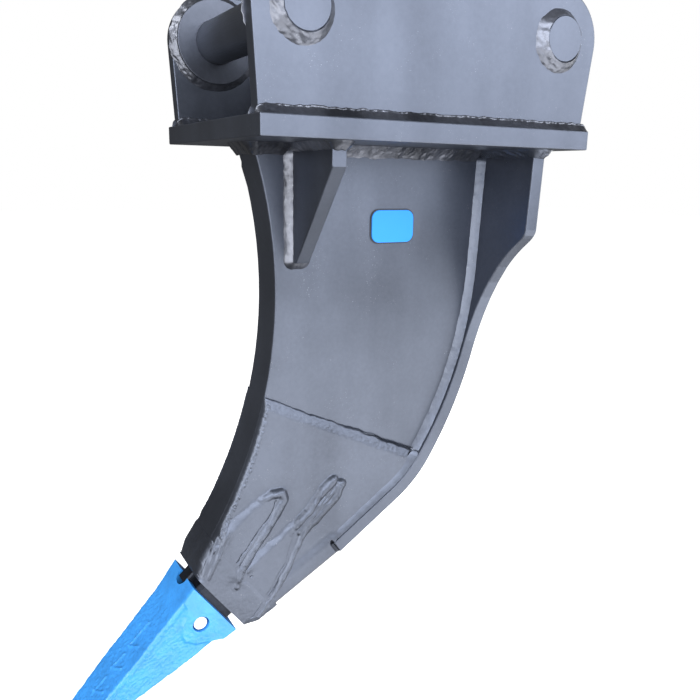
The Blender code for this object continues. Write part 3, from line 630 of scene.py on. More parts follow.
def coated(name, effect, paint, roughness, metallic, bump, depth=0.0004, mottle=1.0, dust=0.0,
           bloom=1.35, shade=0.72, coat=0.0):
    """A finish made from a shared effect, with its own colour, gloss and bump."""
    material = bpy.data.materials.get(name)
    if material:
        return material
    material = bpy.data.materials.new(name)
    material.use_nodes = True
    tree = material.node_tree
    shader = tree.nodes["Principled BSDF"]
    group = tree.nodes.new("ShaderNodeGroup")
    group.node_tree = surface_effect(effect)
    paint = tuple(paint)
    for label, value in (("Paint", (*paint, 1.0)),
                         ("Bloom", (*[min(1.0, c * bloom) for c in paint], 1.0)),
                         ("Shade", (*[c * shade for c in paint], 1.0)),
                         ("Mottle", mottle), ("Roughness", roughness), ("Dust", dust)):
        group.inputs[label].default_value = value
    tree.links.new(group.outputs["Colour"], shader.inputs["Base Color"])
    tree.links.new(group.outputs["Roughness"], shader.inputs["Roughness"])
    relief = add_node(tree, "ShaderNodeBump", Strength=bump, Distance=depth)
    tree.links.new(group.outputs["Height"], relief.inputs["Height"])
    tree.links.new(relief.outputs["Normal"], shader.inputs["Normal"])
    shader.inputs["Metallic"].default_value = metallic
    shader.inputs["Coat Weight"].default_value = coat
    shader.inputs["Coat Roughness"].default_value = 0.22
    return material


def finish(name):
    """The named finish, from the paint settings."""
    s = bpy.context.scene.ripper_paint
    flake = s.plate_metallic
    effect, paint, roughness, metallic, bump, more = {
        "plate_paint": ("sprayed_paint", s.plate_colour, s.plate_roughness, flake, 0.10,
                        dict(mottle=0.5, dust=0.25, bloom=1.25, shade=0.78)),
        "dark_paint": ("sprayed_paint", s.dark_colour, 0.38, flake, 0.10, dict(mottle=0.6)),
        "weld_paint": ("sprayed_paint", s.weld_colour, 0.38, flake, 0.18,
                       dict(mottle=1.0, dust=0.6, bloom=1.4, shade=0.6, coat=0.25)),
        "relief_paint": ("sprayed_paint", s.plate_colour, s.plate_roughness + 0.03, flake, 0.22,
                         dict(mottle=0.7, dust=0.3, bloom=1.2, shade=0.78)),
        # The adaptor nose's dark colour is painted shade for the gap behind the point
        "nose_shade_paint": ("cast_skin", s.nose_shade_colour, 0.36, flake, 0.35,
                       dict(depth=0.0006, mottle=0.9, bloom=1.2, shade=0.7)),
        "point_paint": ("cast_skin", s.point_colour, 0.34, 0.0, 0.30,
                        dict(depth=0.0008, mottle=0.6, bloom=1.2, shade=0.8, coat=0.2)),
        "badge_paint": ("sprayed_paint", s.badge_colour, 0.35, 0.0, 0.05, dict(mottle=0.4)),
        # Near-black rim round the badge: painted shadow along its edge, not a colour the badge has
        "badge_shadow_rim": ("sprayed_paint", (0.012, 0.013, 0.016), 0.5, 0.0, 0.1, {}),
        "bright_steel": ("sprayed_paint", (0.80, 0.77, 0.75), 0.22, 1.0, 0.06,
                         dict(mottle=0.5)),
        "spring_steel": ("sprayed_paint", (0.22, 0.22, 0.23), 0.34, 1.0, 0.10, {}),
    }[name]
    return coated(name, effect, paint, roughness, metallic, bump, **more)


# ---------------------------------------------------------------- settings

class RipperPaint(bpy.types.PropertyGroup):
    """Colours and gloss of the finishes"""
    plate_colour: FloatVectorProperty(
        name="Plate paint", description="Graphite paint on the plates", subtype="COLOR",
        default=(0.089, 0.100, 0.128), min=0.0, max=1.0)
    plate_roughness: FloatProperty(
        name="Plate roughness", description="Roughness of the paint on the plates",
        default=0.38, min=0.0, max=1.0, subtype="FACTOR")
    plate_metallic: FloatProperty(
        name="Paint flake", description="How metallic the graphite paint looks",
        default=0.90, min=0.0, max=1.0, subtype="FACTOR")
    dark_colour: FloatVectorProperty(
        name="Pin paint", description="Paint on the hitch pins and bosses", subtype="COLOR",
        default=(0.080, 0.088, 0.110), min=0.0, max=1.0)
    weld_colour: FloatVectorProperty(
        name="Weld paint", description="Paint over the weld beads", subtype="COLOR",
        default=(0.105, 0.112, 0.135), min=0.0, max=1.0)
    # Painted shade: the adaptor's nose, seen only in the gap behind the point, is made about three
    # times darker than the plates
    nose_shade_colour: FloatVectorProperty(
        name="Adaptor paint", description="Paint on the cast adaptor", subtype="COLOR",
        default=(0.030, 0.034, 0.044), min=0.0, max=1.0)
    point_colour: FloatVectorProperty(
        name="Point paint", description="Blue paint on the point", subtype="COLOR",
        default=(0.032, 0.225, 0.600), min=0.0, max=1.0)
    badge_colour: FloatVectorProperty(
        name="Badge paint", description="Blue paint on the blank badge", subtype="COLOR",
        default=(0.110, 0.235, 0.580), min=0.0, max=1.0)


class RipperWelds(bpy.types.PropertyGroup):
    """Sizes of the weld beads"""
    foot_leg: FloatProperty(
        name="Ear foot leg", description="Leg of the fillet along each ear's foot",
        default=0.0115, min=0.004, max=0.016, unit="LENGTH")
    shank_leg: FloatProperty(
        name="Shank leg", description="Leg of the fillet under the base plate",
        default=0.016, min=0.006, max=0.024, unit="LENGTH")
    gusset_leg: FloatProperty(
        name="Gusset leg", description="Leg of the fillets round the gussets",
        default=0.0095, min=0.004, max=0.014, unit="LENGTH")
    flange_leg: FloatProperty(
        name="Flange leg", description="Leg of the fillet along the rear flange",
        default=0.010, min=0.004, max=0.014, unit="LENGTH")
    pin_leg: FloatProperty(
        name="Pin leg", description="Leg of the weld round each hitch pin",
        default=0.0130, min=0.006, max=0.016, unit="LENGTH")
    unevenness: FloatProperty(
        name="Unevenness", description="How lumpy the beads are, as a share of their leg",
        default=0.06, min=0.0, max=0.2, subtype="FACTOR")


class RipperCastings(bpy.types.PropertyGroup):
    """Sizes of the castings and their relief"""
    relief_rows: IntProperty(
        name="Relief rows", description="Grid lines down the adaptor's side relief",
        default=330, min=60, max=500)
    relief_columns: IntProperty(
        name="Relief columns", description="Grid lines across the adaptor's side relief",
        default=190, min=40, max=300)
    relief_level: FloatProperty(
        name="Wear level", description="Relief's level over the wear plates, from the middle",
        default=0.0389, min=0.0384, max=0.042, unit="LENGTH")
    casting_grain: FloatProperty(
        name="Casting grain", description="Depth of the castings' sand grain",
        default=0.00035, min=0.0, max=0.001, unit="LENGTH")
    point_pad: FloatProperty(
        name="Pin pad", description="How far the pads round the point's pin holes stand out",
        default=0.0022, min=0.0, max=0.004, unit="LENGTH")
    point_rows: IntProperty(
        name="Point rows", description="Stations along the point", default=230, min=60, max=400)


class RipperStage(bpy.types.PropertyGroup):
    """Camera lens and lights"""
    lens: FloatProperty(name="Lens", description="Camera's focal length in millimetres",
                        default=38.1, min=10.0, max=200.0)
    side_glow: FloatProperty(name="Side panels", description="Side panels' power, W per m2",
                             default=13.5, min=0.0)
    left_glow: FloatProperty(name="Left panel", description="Left panel's power, W per m2",
                             default=17.5, min=0.0)
    under_glow: FloatProperty(name="Under panel", description="Under panel's power, W per m2",
                              default=8.0, min=0.0)
    right_glow: FloatProperty(name="Right panel", description="Right panel's power, W per m2",
                              default=7.0, min=0.0)
    top_glow: FloatProperty(name="Top panel", description="High front panel's power, W per m2",
                            default=36.0, min=0.0)
    ambient: FloatProperty(name="Ambient", description="Strength of the room's dim light",
                           default=0.10, min=0.0, max=2.0)


class RIPPER_OT_paint_plates(bpy.types.Operator):
    """Give every carried-over plate, pin and boss its paint"""
    bl_idname = "ripper.paint_plates"
    bl_label = "Paint plates"

    def execute(self, context):
        # The adaptor's nose gets the darker colour as painted shade in the gap behind the point
        chosen = {"nose_adaptor": "nose_shade_paint", "retaining_pin": "bright_steel",
                  "pin_retainer": "spring_steel", "badge": "badge_paint",
                  "tooth_point": "badge_paint"}
        for name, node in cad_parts.items():
            paint = chosen.get(name, "dark_paint" if "boss" in name else "plate_paint")
            for place in node.material_slots:
                place.material = finish(paint)
        return {"FINISHED"}


class RIPPER_OT_weld_ears(bpy.types.Operator):
    """Lay the fillets along both sides of each ear's foot"""
    bl_idname = "ripper.weld_ears"
    bl_label = "Weld ears"

    def execute(self, context):
        welds = context.scene.ripper_welds
        beads = []
        for sign in (LEFT, RIGHT):
            for k, (y, out) in enumerate(((EAR_OUTER_Y, sign), (EAR_INNER_Y, -sign))):
                path = spaced([(EAR_LOW[0] + 0.003, sign * y, 0.0),
                               (EAR_HIGH[0] - 0.003, sign * y, 0.0)], 0.0016)
                beads.append(weld_bead(path, np.array([0.0, out, 0.0]),
                                       np.array([0.0, 0.0, 1.0]), welds.foot_leg,
                                       welds.foot_leg, 11 + 3 * k + (sign > 0), bulge=-0.04,
                                       grain=0.3 * welds.unevenness, lip=0.0011, slant=1.2))
        add_piece("ear_foot_welds", joined(beads), finish("weld_paint"))
        return {"FINISHED"}


class RIPPER_OT_weld_pins(bpy.types.Operator):
    """Lay the rings round the hitch pins' ends and round the bosses"""
    bl_idname = "ripper.weld_pins"
    bl_label = "Weld pins and bosses"

    def execute(self, context):
        welds = context.scene.ripper_welds
        rings = []
        for place, centre in PIN_CENTRES.items():
            for sign in (LEFT, RIGHT):
                for k, (radius, y, out, leg) in enumerate((
                        (PIN_RADIUS, EAR_OUTER_Y, sign, welds.pin_leg),
                        (BOSS_RADIUS, EAR_INNER_Y, -sign, 0.0085))):
                    n = max(120, round(2 * pi * radius / 0.0015))
                    a = 2 * pi * np.arange(n) / n
                    around = np.stack([np.cos(a), np.zeros(n), np.sin(a)], axis=1)
                    path = centre * [1.0, 0.0, 1.0] + around * radius + [0.0, sign * y, 0.0]
                    share = 1.0 if k else 0.78 - 0.28 * np.cos(a - radians(35.0))
                    rings.append(weld_bead(path, around, np.array([0.0, out, 0.0]),
                                           leg * share, (0.0085 if k else 0.0098) * share ** 0.5,
                                           31 + 7 * k + (place == "rear"), bulge=0.0,
                                           grain=welds.unevenness * 0.75, loop=True,
                                           pitch=0.0085, waver=0.12))
        add_piece("pin_and_boss_welds", joined(rings), finish("weld_paint"))
        return {"FINISHED"}


class RIPPER_OT_weld_shank(bpy.types.Operator):
    """Lay the fillet round the shank's top, under the base plate"""
    bl_idname = "ripper.weld_shank"
    bl_label = "Weld shank to plate"

    def execute(self, context):
        welds = context.scene.ripper_welds
        y = SHANK_SIDE_Y
        front_x = FRONT_ARC["start"][0]
        rear_x = FLANGE_FACE["start"][0]
        corners = [(rear_x, -y, UNDERSIDE_Z), (front_x, -y, UNDERSIDE_Z),
                   (front_x, y, UNDERSIDE_Z), (rear_x, y, UNDERSIDE_Z)]
        path, out = corner_path(corners, 0.004, (0.0, 0.0, 1.0))
        if np.dot(out[0], (0.0, -1.0, 0.0)) < 0:
            out = -out
        bead = weld_bead(path, np.array([0.0, 0.0, -1.0]), out, welds.shank_leg,
                         welds.shank_leg * 0.8, 51, bulge=-0.04, grain=0.5 * welds.unevenness,
                         pitch=0.007, slant=1.8)
        add_piece("shank_top_weld", bead, finish("weld_paint"))
        return {"FINISHED"}


class RIPPER_OT_weld_gussets(bpy.types.Operator):
    """Lay the fillets round each gusset, against the base plate and the shank"""
    bl_idname = "ripper.weld_gussets"
    bl_label = "Weld gussets"

    def execute(self, context):
        welds = context.scene.ripper_welds
        x0, x1 = GUSSET_LOW[0], GUSSET_HIGH[0]
        reach, foot = -GUSSET_LOW[1], GUSSET_LOW[2]
        beads = []
        for sign in (LEFT, RIGHT):
            under = [(x0, sign * SHANK_SIDE_Y, UNDERSIDE_Z), (x0, sign * reach, UNDERSIDE_Z),
                     (x1, sign * reach, UNDERSIDE_Z), (x1, sign * SHANK_SIDE_Y, UNDERSIDE_Z)]
            face = [(x0, sign * SHANK_SIDE_Y, UNDERSIDE_Z - 0.004),
                    (x0, sign * SHANK_SIDE_Y, foot), (x1, sign * SHANK_SIDE_Y, foot),
                    (x1, sign * SHANK_SIDE_Y, UNDERSIDE_Z - 0.004)]
            for k, (corners, away) in enumerate(((under, (0.0, 0.0, -1.0)),
                                                 (face, (0.0, sign, 0.0)))):
                path, out = corner_path(corners, 0.003, away)
                if out[0][0] > 0:
                    out = -out
                leg = welds.gusset_leg * (1.15 if k == 0 else 1.0)
                beads.append(weld_bead(path, np.array(away), out, leg, leg,
                                       61 + k + 4 * (sign > 0), bulge=0.06,
                                       grain=welds.unevenness * 0.3))
        add_piece("gusset_welds", joined(beads), finish("weld_paint"))
        return {"FINISHED"}


class RIPPER_OT_weld_flange(bpy.types.Operator):
    """Lay the fillets between the shank and the flange, and round the flange's top"""
    bl_idname = "ripper.weld_flange"
    bl_label = "Weld flange"

    def execute(self, context):
        welds = context.scene.ripper_welds
        face = tangent_path(**FLANGE_FACE, spacing=0.0016)
        seam_z = SEAM[1][1]
        upper = face[(face[:, 1] < UNDERSIDE_Z - 0.006) & (face[:, 1] > seam_z - 0.010)]
        lower = face[(face[:, 1] < seam_z)][:-2]
        beads = []
        for sign in (LEFT, RIGHT):
            for k, (rows, y, leg) in enumerate(((upper, SHANK_SIDE_Y, welds.flange_leg),
                                                (lower, WEAR_FACE_Y, 0.0120))):
                path = np.stack([rows[:, 0], np.full(len(rows), sign * y), rows[:, 1]], axis=1)
                forward = np.stack([-np.cos(rows[:, 2]), np.zeros(len(rows)),
                                    np.sin(rows[:, 2])], axis=1)
                beads.append(weld_bead(path, forward, np.array([0.0, sign, 0.0]), leg,
                                       leg if k == 0 else 0.0050, 71 + k + 4 * (sign > 0),
                                       bulge=0.04, grain=welds.unevenness * 0.08,
                                       waver=0.04))
        top = np.array([FLANGE_HIGH[0], FLANGE_HIGH[1]])
        x0, x1, y = FLANGE_FACE["start"][0], top[0], top[1]
        corners = [(x0, -y, UNDERSIDE_Z), (x1, -y, UNDERSIDE_Z), (x1, y, UNDERSIDE_Z),
                   (x0, y, UNDERSIDE_Z)]
        path, out = corner_path(corners, 0.003, (0.0, 0.0, 1.0), loop=True)
        if np.dot(out[0], path[0] - path.mean(axis=0)) < 0:
            out = -out
        beads.append(weld_bead(path, np.array([0.0, 0.0, -1.0]), out, 0.012, 0.012, 79,
                               bulge=0.05, grain=welds.unevenness * 1.5, loop=True))
        add_piece("flange_welds", joined(beads), finish("plate_paint"))
        return {"FINISHED"}


def side_patch(rows, cols):
    """Places over the lower side of the shank and adaptor, and their distance to each edge.

    Each row runs straight from the front edge to the rear edge; rows go from the seam of
    the wear plate down to the adaptor's shoulder.
    """
    front = tangent_path(**FRONT_ARC, spacing=0.001)
    front = front[front[:, 1] <= SEAM[0][1]]
    front = to_nose(front[:, 0], front[:, 1])
    front = front[front[:, 0] < -62.0]
    front = np.vstack([front, [(-60.0, 80.6), (-30.0, 69.4), (-12.0, 57.4)]])
    rear = tangent_path(**FLANGE_FACE, spacing=0.001)
    rear = rear[rear[:, 1] <= SEAM[1][1]]
    rear = to_nose(rear[:, 0], rear[:, 1])
    rear = np.vstack([rear[:-1], [(-184.8, -88.9), (-60.0, -73.4), (-30.0, -68.9),
                                  (-12.0, -55.4)]])
    b = np.linspace(0.0, 1.0, rows)

    def even(line):
        length = np.concatenate([[0], np.cumsum(np.linalg.norm(np.diff(line, axis=0), axis=1))])
        return np.stack([np.interp(b * length[-1], length, line[:, k]) for k in (0, 1)], axis=1)

    front, rear = even(front), even(rear)
    a = np.linspace(0.0, 1.0, cols)
    places = front[:, None] * (1 - a)[None, :, None] + rear[:, None] * a[None, :, None]
    seam = to_nose(np.array([p[0] for p in SEAM]), np.array([p[1] for p in SEAM]))
    to_seam, _ = from_line(places[..., 0], places[..., 1], seam)
    to_front, _ = from_line(places[..., 0], places[..., 1], front[::6])
    to_rear, _ = from_line(places[..., 0], places[..., 1], rear[::6])
    return places, to_seam, to_front, to_rear


def leg_height(u, v, outline, upper_line, slopes, crown, level):
    """Height of a leg: its crown inside the outline, then a slope down to the wear plate.

    The slope is slopes[0] wide above the leg's own middle line and slopes[1] below it.
    """
    depth = inside_by(u, v, outline)
    middle = np.interp(u, *np.array(upper_line, float).T)
    width = slopes[1] + (slopes[0] - slopes[1]) * ease((v - middle) / 8.0 + 0.5)
    return level - 0.6 + (crown - level + 0.6) * ease((depth + 1.0 + width) / width)


def side_height(places, to_seam, to_front, to_rear, level, grain, seed):
    """Relief height from the middle plane, in millimetres, at each place of the side patch.

    The wear plate's level, the adaptor's raised body and legs, and the weld beads are each
    a height of their own; the relief is their rounded maximum, less the grooves, and it
    falls away on a quarter circle at the front edge and on a fillet's slope at the seam.
    """
    u, v = places[..., 0], places[..., 1]
    warp_u = u + 1.5 * rough(u / 19, v / 19, seed, 2)
    warp_v = v + 1.5 * rough(u / 19, v / 19, seed + 3, 2)
    base = level + 0.12 * rough(u / 24, v / 24, seed + 5, 2)
    heel = -69.0 + 0.128 * (u + 185.0)
    strap = ease((heel + 25.0 - v) / 23.0) * ease((u + 212.0) / 26.0)
    base = base + strap * (44.7 - level)
    body = level + (47.7 - level) * ease((u + 70.0) / 18.0)
    height = blend_max(base, body, 2.0)
    crown = 46.6 - 3.0 * np.clip((-60.0 - u) / 112.0, 0.0, 1.0)
    for outline, middle, slopes in LEGS:
        height = blend_max(height, leg_height(warp_u, warp_v, outline, middle, slopes, crown,
                                              level), 1.5)
    for k, (line, half, crown_top, crown_low) in enumerate(BEADS):
        away, along = from_line(warp_u, warp_v, line)
        total = sum(np.hypot(b[0] - a[0], b[1] - a[1]) for a, b in zip(line, line[1:]))
        share = along / total
        width = half * (1 + 0.09 * rough(along / 12, 0 * along, seed + 17 + k, 2))
        if k == TAPERED_BEAD:
            width = width * (1 - 0.3 * share)
        crown = crown_top + (crown_low - crown_top) * share
        if k in FADED_BEADS:
            crown = crown - 3.0 * (1 - ease(along / 24))
        crown = crown + 0.75 * rough(along / 8, away / 12, seed + 27 + k, 2)
        shape = np.clip(1 - (away / width) ** 2, 0.0, 1.0)
        bead = level - 1.0 + (crown - level + 1.0) * shape
        height = blend_max(height, np.where(away < width, bead, level - 2.0), 0.6)
    for line, depth, width in GROOVES:
        away, along = from_line(warp_u, warp_v, line)
        fade = 0.75 + 0.25 * rough(along / 7, 0 * along, seed + 41)
        height = height - depth * fade * np.exp(-(away / width) ** 2)
    for at_u, at_v, wide, tall, depth in HOLLOWS:
        height = height - depth * np.exp(-((u - at_u) / wide) ** 2 - ((v - at_v) / tall) ** 2)
    on_plate = ease((-66.0 - u) / 10.0)
    strip = ease((9.5 - to_front) / 2.0) * on_plate
    height = height + strip * (0.6 + 0.9 * rough(u / 2.6, v / 2.6, seed + 57, 2))
    cast = ease((u + 70) / 20)
    height = height + grain * (0.15 + 0.2 * cast) * rough(u / 3.5, v / 3.5, seed + 61, 2)
    edge = 6.5 * on_plate + 17.8 * (1 - on_plate)
    near = np.clip(to_front / edge, 0.0, 1.0)
    foot = 30.2 * on_plate + 29.9 * (1 - on_plate)
    height = foot + (height - foot) * np.sqrt(np.clip(1 - (1 - near) ** 2, 0.0, 1.0))
    root = ease((25.0 - to_front) / 9.0) * ease((u + 98.0) / 16.0) * ease((-16.0 - u) / 8.0)
    strokes = rough((u + 0.4 * v) / 17, (v + 0.55 * u) / 5.5, seed + 71, 2)
    height = height + root * ease(to_front / 3.0) * (0.9 + 1.5 * strokes)
    near = np.clip((to_seam - 0.5) / 16.0, 0.0, 1.0)
    step = SEAM_FOOT + (SEAM_LEVEL - SEAM_FOOT) * ease((to_seam - 0.5) / 1.2)
    bead = ease(to_seam / 3.0) * ease((20.0 - to_seam) / 6.0)
    lumpy = 0.30 * rough(u / 6, v / 6, seed + 51, 2) + 0.35 * rough(u / 2.4, v / 2.4, seed + 53, 1)
    height = step + (height - SEAM_LEVEL) * (1 - (1 - near) ** 1.35) + bead * lumpy
    low_edge = ease((u + 187.0) / 3.0)
    drop = np.clip(7.5 - to_rear, 0.0, 7.5)
    return height - low_edge * drop * 0.92


class RIPPER_OT_shape_side_relief(bpy.types.Operator):
    """Shape the wear plates' welds, the adaptor's legs and the finger welds on each side"""
    bl_idname = "ripper.shape_side_relief"
    bl_label = "Shape side relief"

    def execute(self, context):
        s = context.scene.ripper_castings
        places, to_seam, to_front, to_rear = side_patch(s.relief_rows, s.relief_columns)
        for side, sign in (("left", LEFT), ("right", RIGHT)):
            seed = 5 if sign < 0 else 6
            wave = 1.3 * rough(places[0, :, 0] / 14, places[0, :, 1] / 14, seed + 91)
            fade = np.clip(1 - to_seam / 8.0, 0.0, 1.0)[..., None]
            moved = places + fade * wave[None, :, None] * np.array([-0.85, 0.53])
            height = side_height(places, to_seam, to_front, to_rear, s.relief_level / MM,
                                 s.casting_grain / MM, seed)
            add_piece(side + "_side_relief", relief_solid(moved, height, RELIEF_BACK, sign),
                      finish("relief_paint"), sharp=60.0)
        return {"FINISHED"}


class RIPPER_OT_shape_adaptor_body(bpy.types.Operator):
    """Shape the adaptor's rounded body and the heel strap's rear face"""
    bl_idname = "ripper.shape_adaptor_body"
    bl_label = "Shape adaptor body"

    def execute(self, context):
        s = context.scene.ripper_castings
        section = box_section(10, 40)
        turn_y, turn_v = section[2:]
        u = np.linspace(-64.0, -11.6, 60)[:, None]
        low = np.interp(u, (-64, -60, -30, -14, -11.6), (-75.0, -74.6, -70.2, -58.4, -54.8))
        high = np.interp(u, (-64, -60, -30, -14, -11.6), (81.0, 81.6, 70.9, 59.8, 56.4))
        wide = np.interp(u, (-64, -60, -14, -11.6), (46.6, 46.6, 46.3, 45.0))
        radius = np.where(turn_v > 0, 17.6, 6.5)[None, :]
        y, v = rounded_box(section, low, high, wide, radius)
        grain = s.casting_grain / MM
        swell = grain * rough(u / 5 + 0 * y, (y + v) / 5, 81, 2) \
            + 0.5 * rough(u / 18 + 0 * y, (y - v) / 18, 83, 2)
        y, v = y + swell * turn_y * 0.4, v + swell * turn_v
        rings = from_nose(u * MM + 0 * y, y * MM, v * MM)
        add_piece("adaptor_body", lofted(rings), finish("relief_paint"),
                  sharp=50.0)
        return {"FINISHED"}


def point_surface(rows, pad, grain):
    """The point's outer surface before its pocket, notch and holes are cut.

    At u along the point, a rounded box between given heights and widths. The sides
    stand out by pad behind a curved border and round the pin holes, the front face has
    three pairs of low ribs, and the skin has sand grain.
    """
    section = box_section(6, 62)
    turn_y, turn_v = section[2:]
    u = np.linspace(0.0, POINT_LENGTH, rows)[:, None]
    top = np.interp(u, (0, 15, 30, 45, 60, 75, 90, 105, 120, 150, 165, 245),
                    (51.2, 47.4, 43.5, 39.9, 37, 34.3, 31.3, 28.2, 25.2, 20.2, 17.8, 1.0))
    low = np.interp(u, (0, 20.6, 27, 33, 60, 90, 120, 135, 245),
                    (-51.2, -48.5, -42.5, -38.6, -36.5, -32.2, -26.0, -23.5, -7.0))
    wide = np.interp(u, (0, 30, 45, 75, 120, 150, 165, 245),
                     (46.0, 45.0, 43.6, 42.4, 42.0, 40.8, 39.8, 36.0))
    tip = np.clip((u - POINT_LENGTH + 5.0) / 5.0, 0.0, 1.0)
    shrink = 1.6 * (1 - np.sqrt(1 - tip ** 2))
    top, low, wide = top - shrink, low + shrink, wide - shrink
    radius = np.interp(u, (0, 30, 245), (3.4, 4.2, 2.0))
    y, v = rounded_box(section, low, top, wide, radius)
    uu = u + 0 * y
    on_side = np.abs(turn_y) ** 4 + 0 * y
    on_front = np.clip(turn_v, 0, 1) ** 4 + 0 * y
    depth = inside_by(uu, v, PAD_BORDER)
    raised = pad * ease((depth + 0.5) / 2.2)
    rim = 0.7 * np.exp(-((depth - 0.5) / 1.2) ** 2)
    cheek = -1.0 * ease(-depth / 3.0) * ease((top - 5.0 - v) / 5.0) * ease((v - low - 3.0) / 6.0)
    out = on_side * (raised + rim + cheek)
    ribs = np.zeros(uu.shape)
    for at, reach in RIB_PAIRS:
        for line in (((at, 2.0), (at - reach, -3.0)), ((at, 2.0), (at - 13.0, -20.0))):
            away, _ = from_line(uu, y, line)
            ribs += 1.5 * np.exp(-(away / 1.6) ** 2)
    out = out + on_front * ribs
    skin = grain * (1.2 * rough(uu / 4, (y + 1.7 * v) / 4, 7)
                    + rough(uu / 1.9, (y - 1.3 * v) / 1.9, 9, 2)) * ease(uu / 6)
    crease = 0.8 * np.exp(-((v - (2.0 - 0.10 * uu)) / 1.2) ** 2) * ease((uu - 62) / 10)
    out = out + skin * (0.35 + 0.65 * ease((uu - 30) / 30)) - on_side * crease * 0.5
    y, v = y + out * turn_y, v + out * turn_v
    return lofted(from_nose(uu * MM, y * MM, v * MM))


class RIPPER_OT_cast_point(bpy.types.Operator):
    """Cast the blue point, with its pocket, rear notch and pin holes"""
    bl_idname = "ripper.cast_point"
    bl_label = "Cast point"

    def execute(self, context):
        s = context.scene.ripper_castings

        def box_ring(u, w, h, c):
            corners = [(-w, -h + c), (-w, h - c), (-w + c, h), (w - c, h), (w, h - c),
                       (w, -h + c), (w - c, -h), (-w + c, -h)]
            return [from_nose(np.array(u * MM), np.array(y * MM), np.array(v * MM))
                    for y, v in corners]

        pocket = lofted([box_ring(-6.0, 34.6, 37.6, 6.0), box_ring(0.0, 34.6, 37.6, 6.0),
                         box_ring(82.6, 27.6, 14.6, 6.0)])
        a = np.linspace(-pi / 2, pi / 2, 25)
        r = NOTCH_RADIUS
        plan = np.array([(-6.0, -r)] + list(zip(r * np.cos(a), r * np.sin(a))) + [(-6.0, r)])
        notch = lofted([from_nose(plan[:, 0] * MM, plan[:, 1] * MM, np.array(level * MM))
                        for level in (29.0, 60.0)])
        a = 2 * pi * np.arange(64) / 64
        hole = lofted([from_nose((PIN_HOLE_U + PIN_HOLE_RADIUS * np.cos(a)) * MM, np.array(y * MM),
                                 PIN_HOLE_RADIUS * np.sin(a) * MM) for y in (-60.0, 60.0)])
        surface = point_surface(s.point_rows, s.point_pad / MM, s.casting_grain / MM)
        mesh = turned_outwards(cut_with("point_casting", surface, [pocket, notch, hole]),
                               BASE_AT)
        piece = place_mesh(mesh, finish("point_paint"), "point", sharp=34.0)
        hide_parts("tooth_point")
        return {"FINISHED"}


class RIPPER_OT_fit_badge(bpy.types.Operator):
    """Fit a near-black rim round the blank badge: painted shadow along the badge's edge"""
    bl_idname = "ripper.fit_badge"
    bl_label = "Fit badge"

    def execute(self, context):
        middle = (BADGE_LOW + BADGE_HIGH) / 2
        half = (BADGE_HIGH - BADGE_LOW) / 2
        n = 96
        a = 2 * pi * np.arange(n) / n
        rings = []
        for grow, y in ((1.0, 0.0002), (1.8, -0.0004), (1.6, -0.0012), (0.2, -0.0014)):
            w, h, r = half[0] + grow * MM, half[2] + grow * MM, 0.012 + grow * MM
            cy, cz = np.cos(a), np.sin(a)
            x = np.sign(cy) * (w - r) + r * cy
            z = np.sign(cz) * (h - r) + r * cz
            rings.append(np.stack([middle[0] + x, np.full(n, -SHANK_SIDE_Y + y), middle[2] + z],
                                  axis=1))
        # The rim is near black as painted shadow round the badge
        add_piece("badge_shadow_rim", lofted(rings), finish("badge_shadow_rim"))
        return {"FINISHED"}


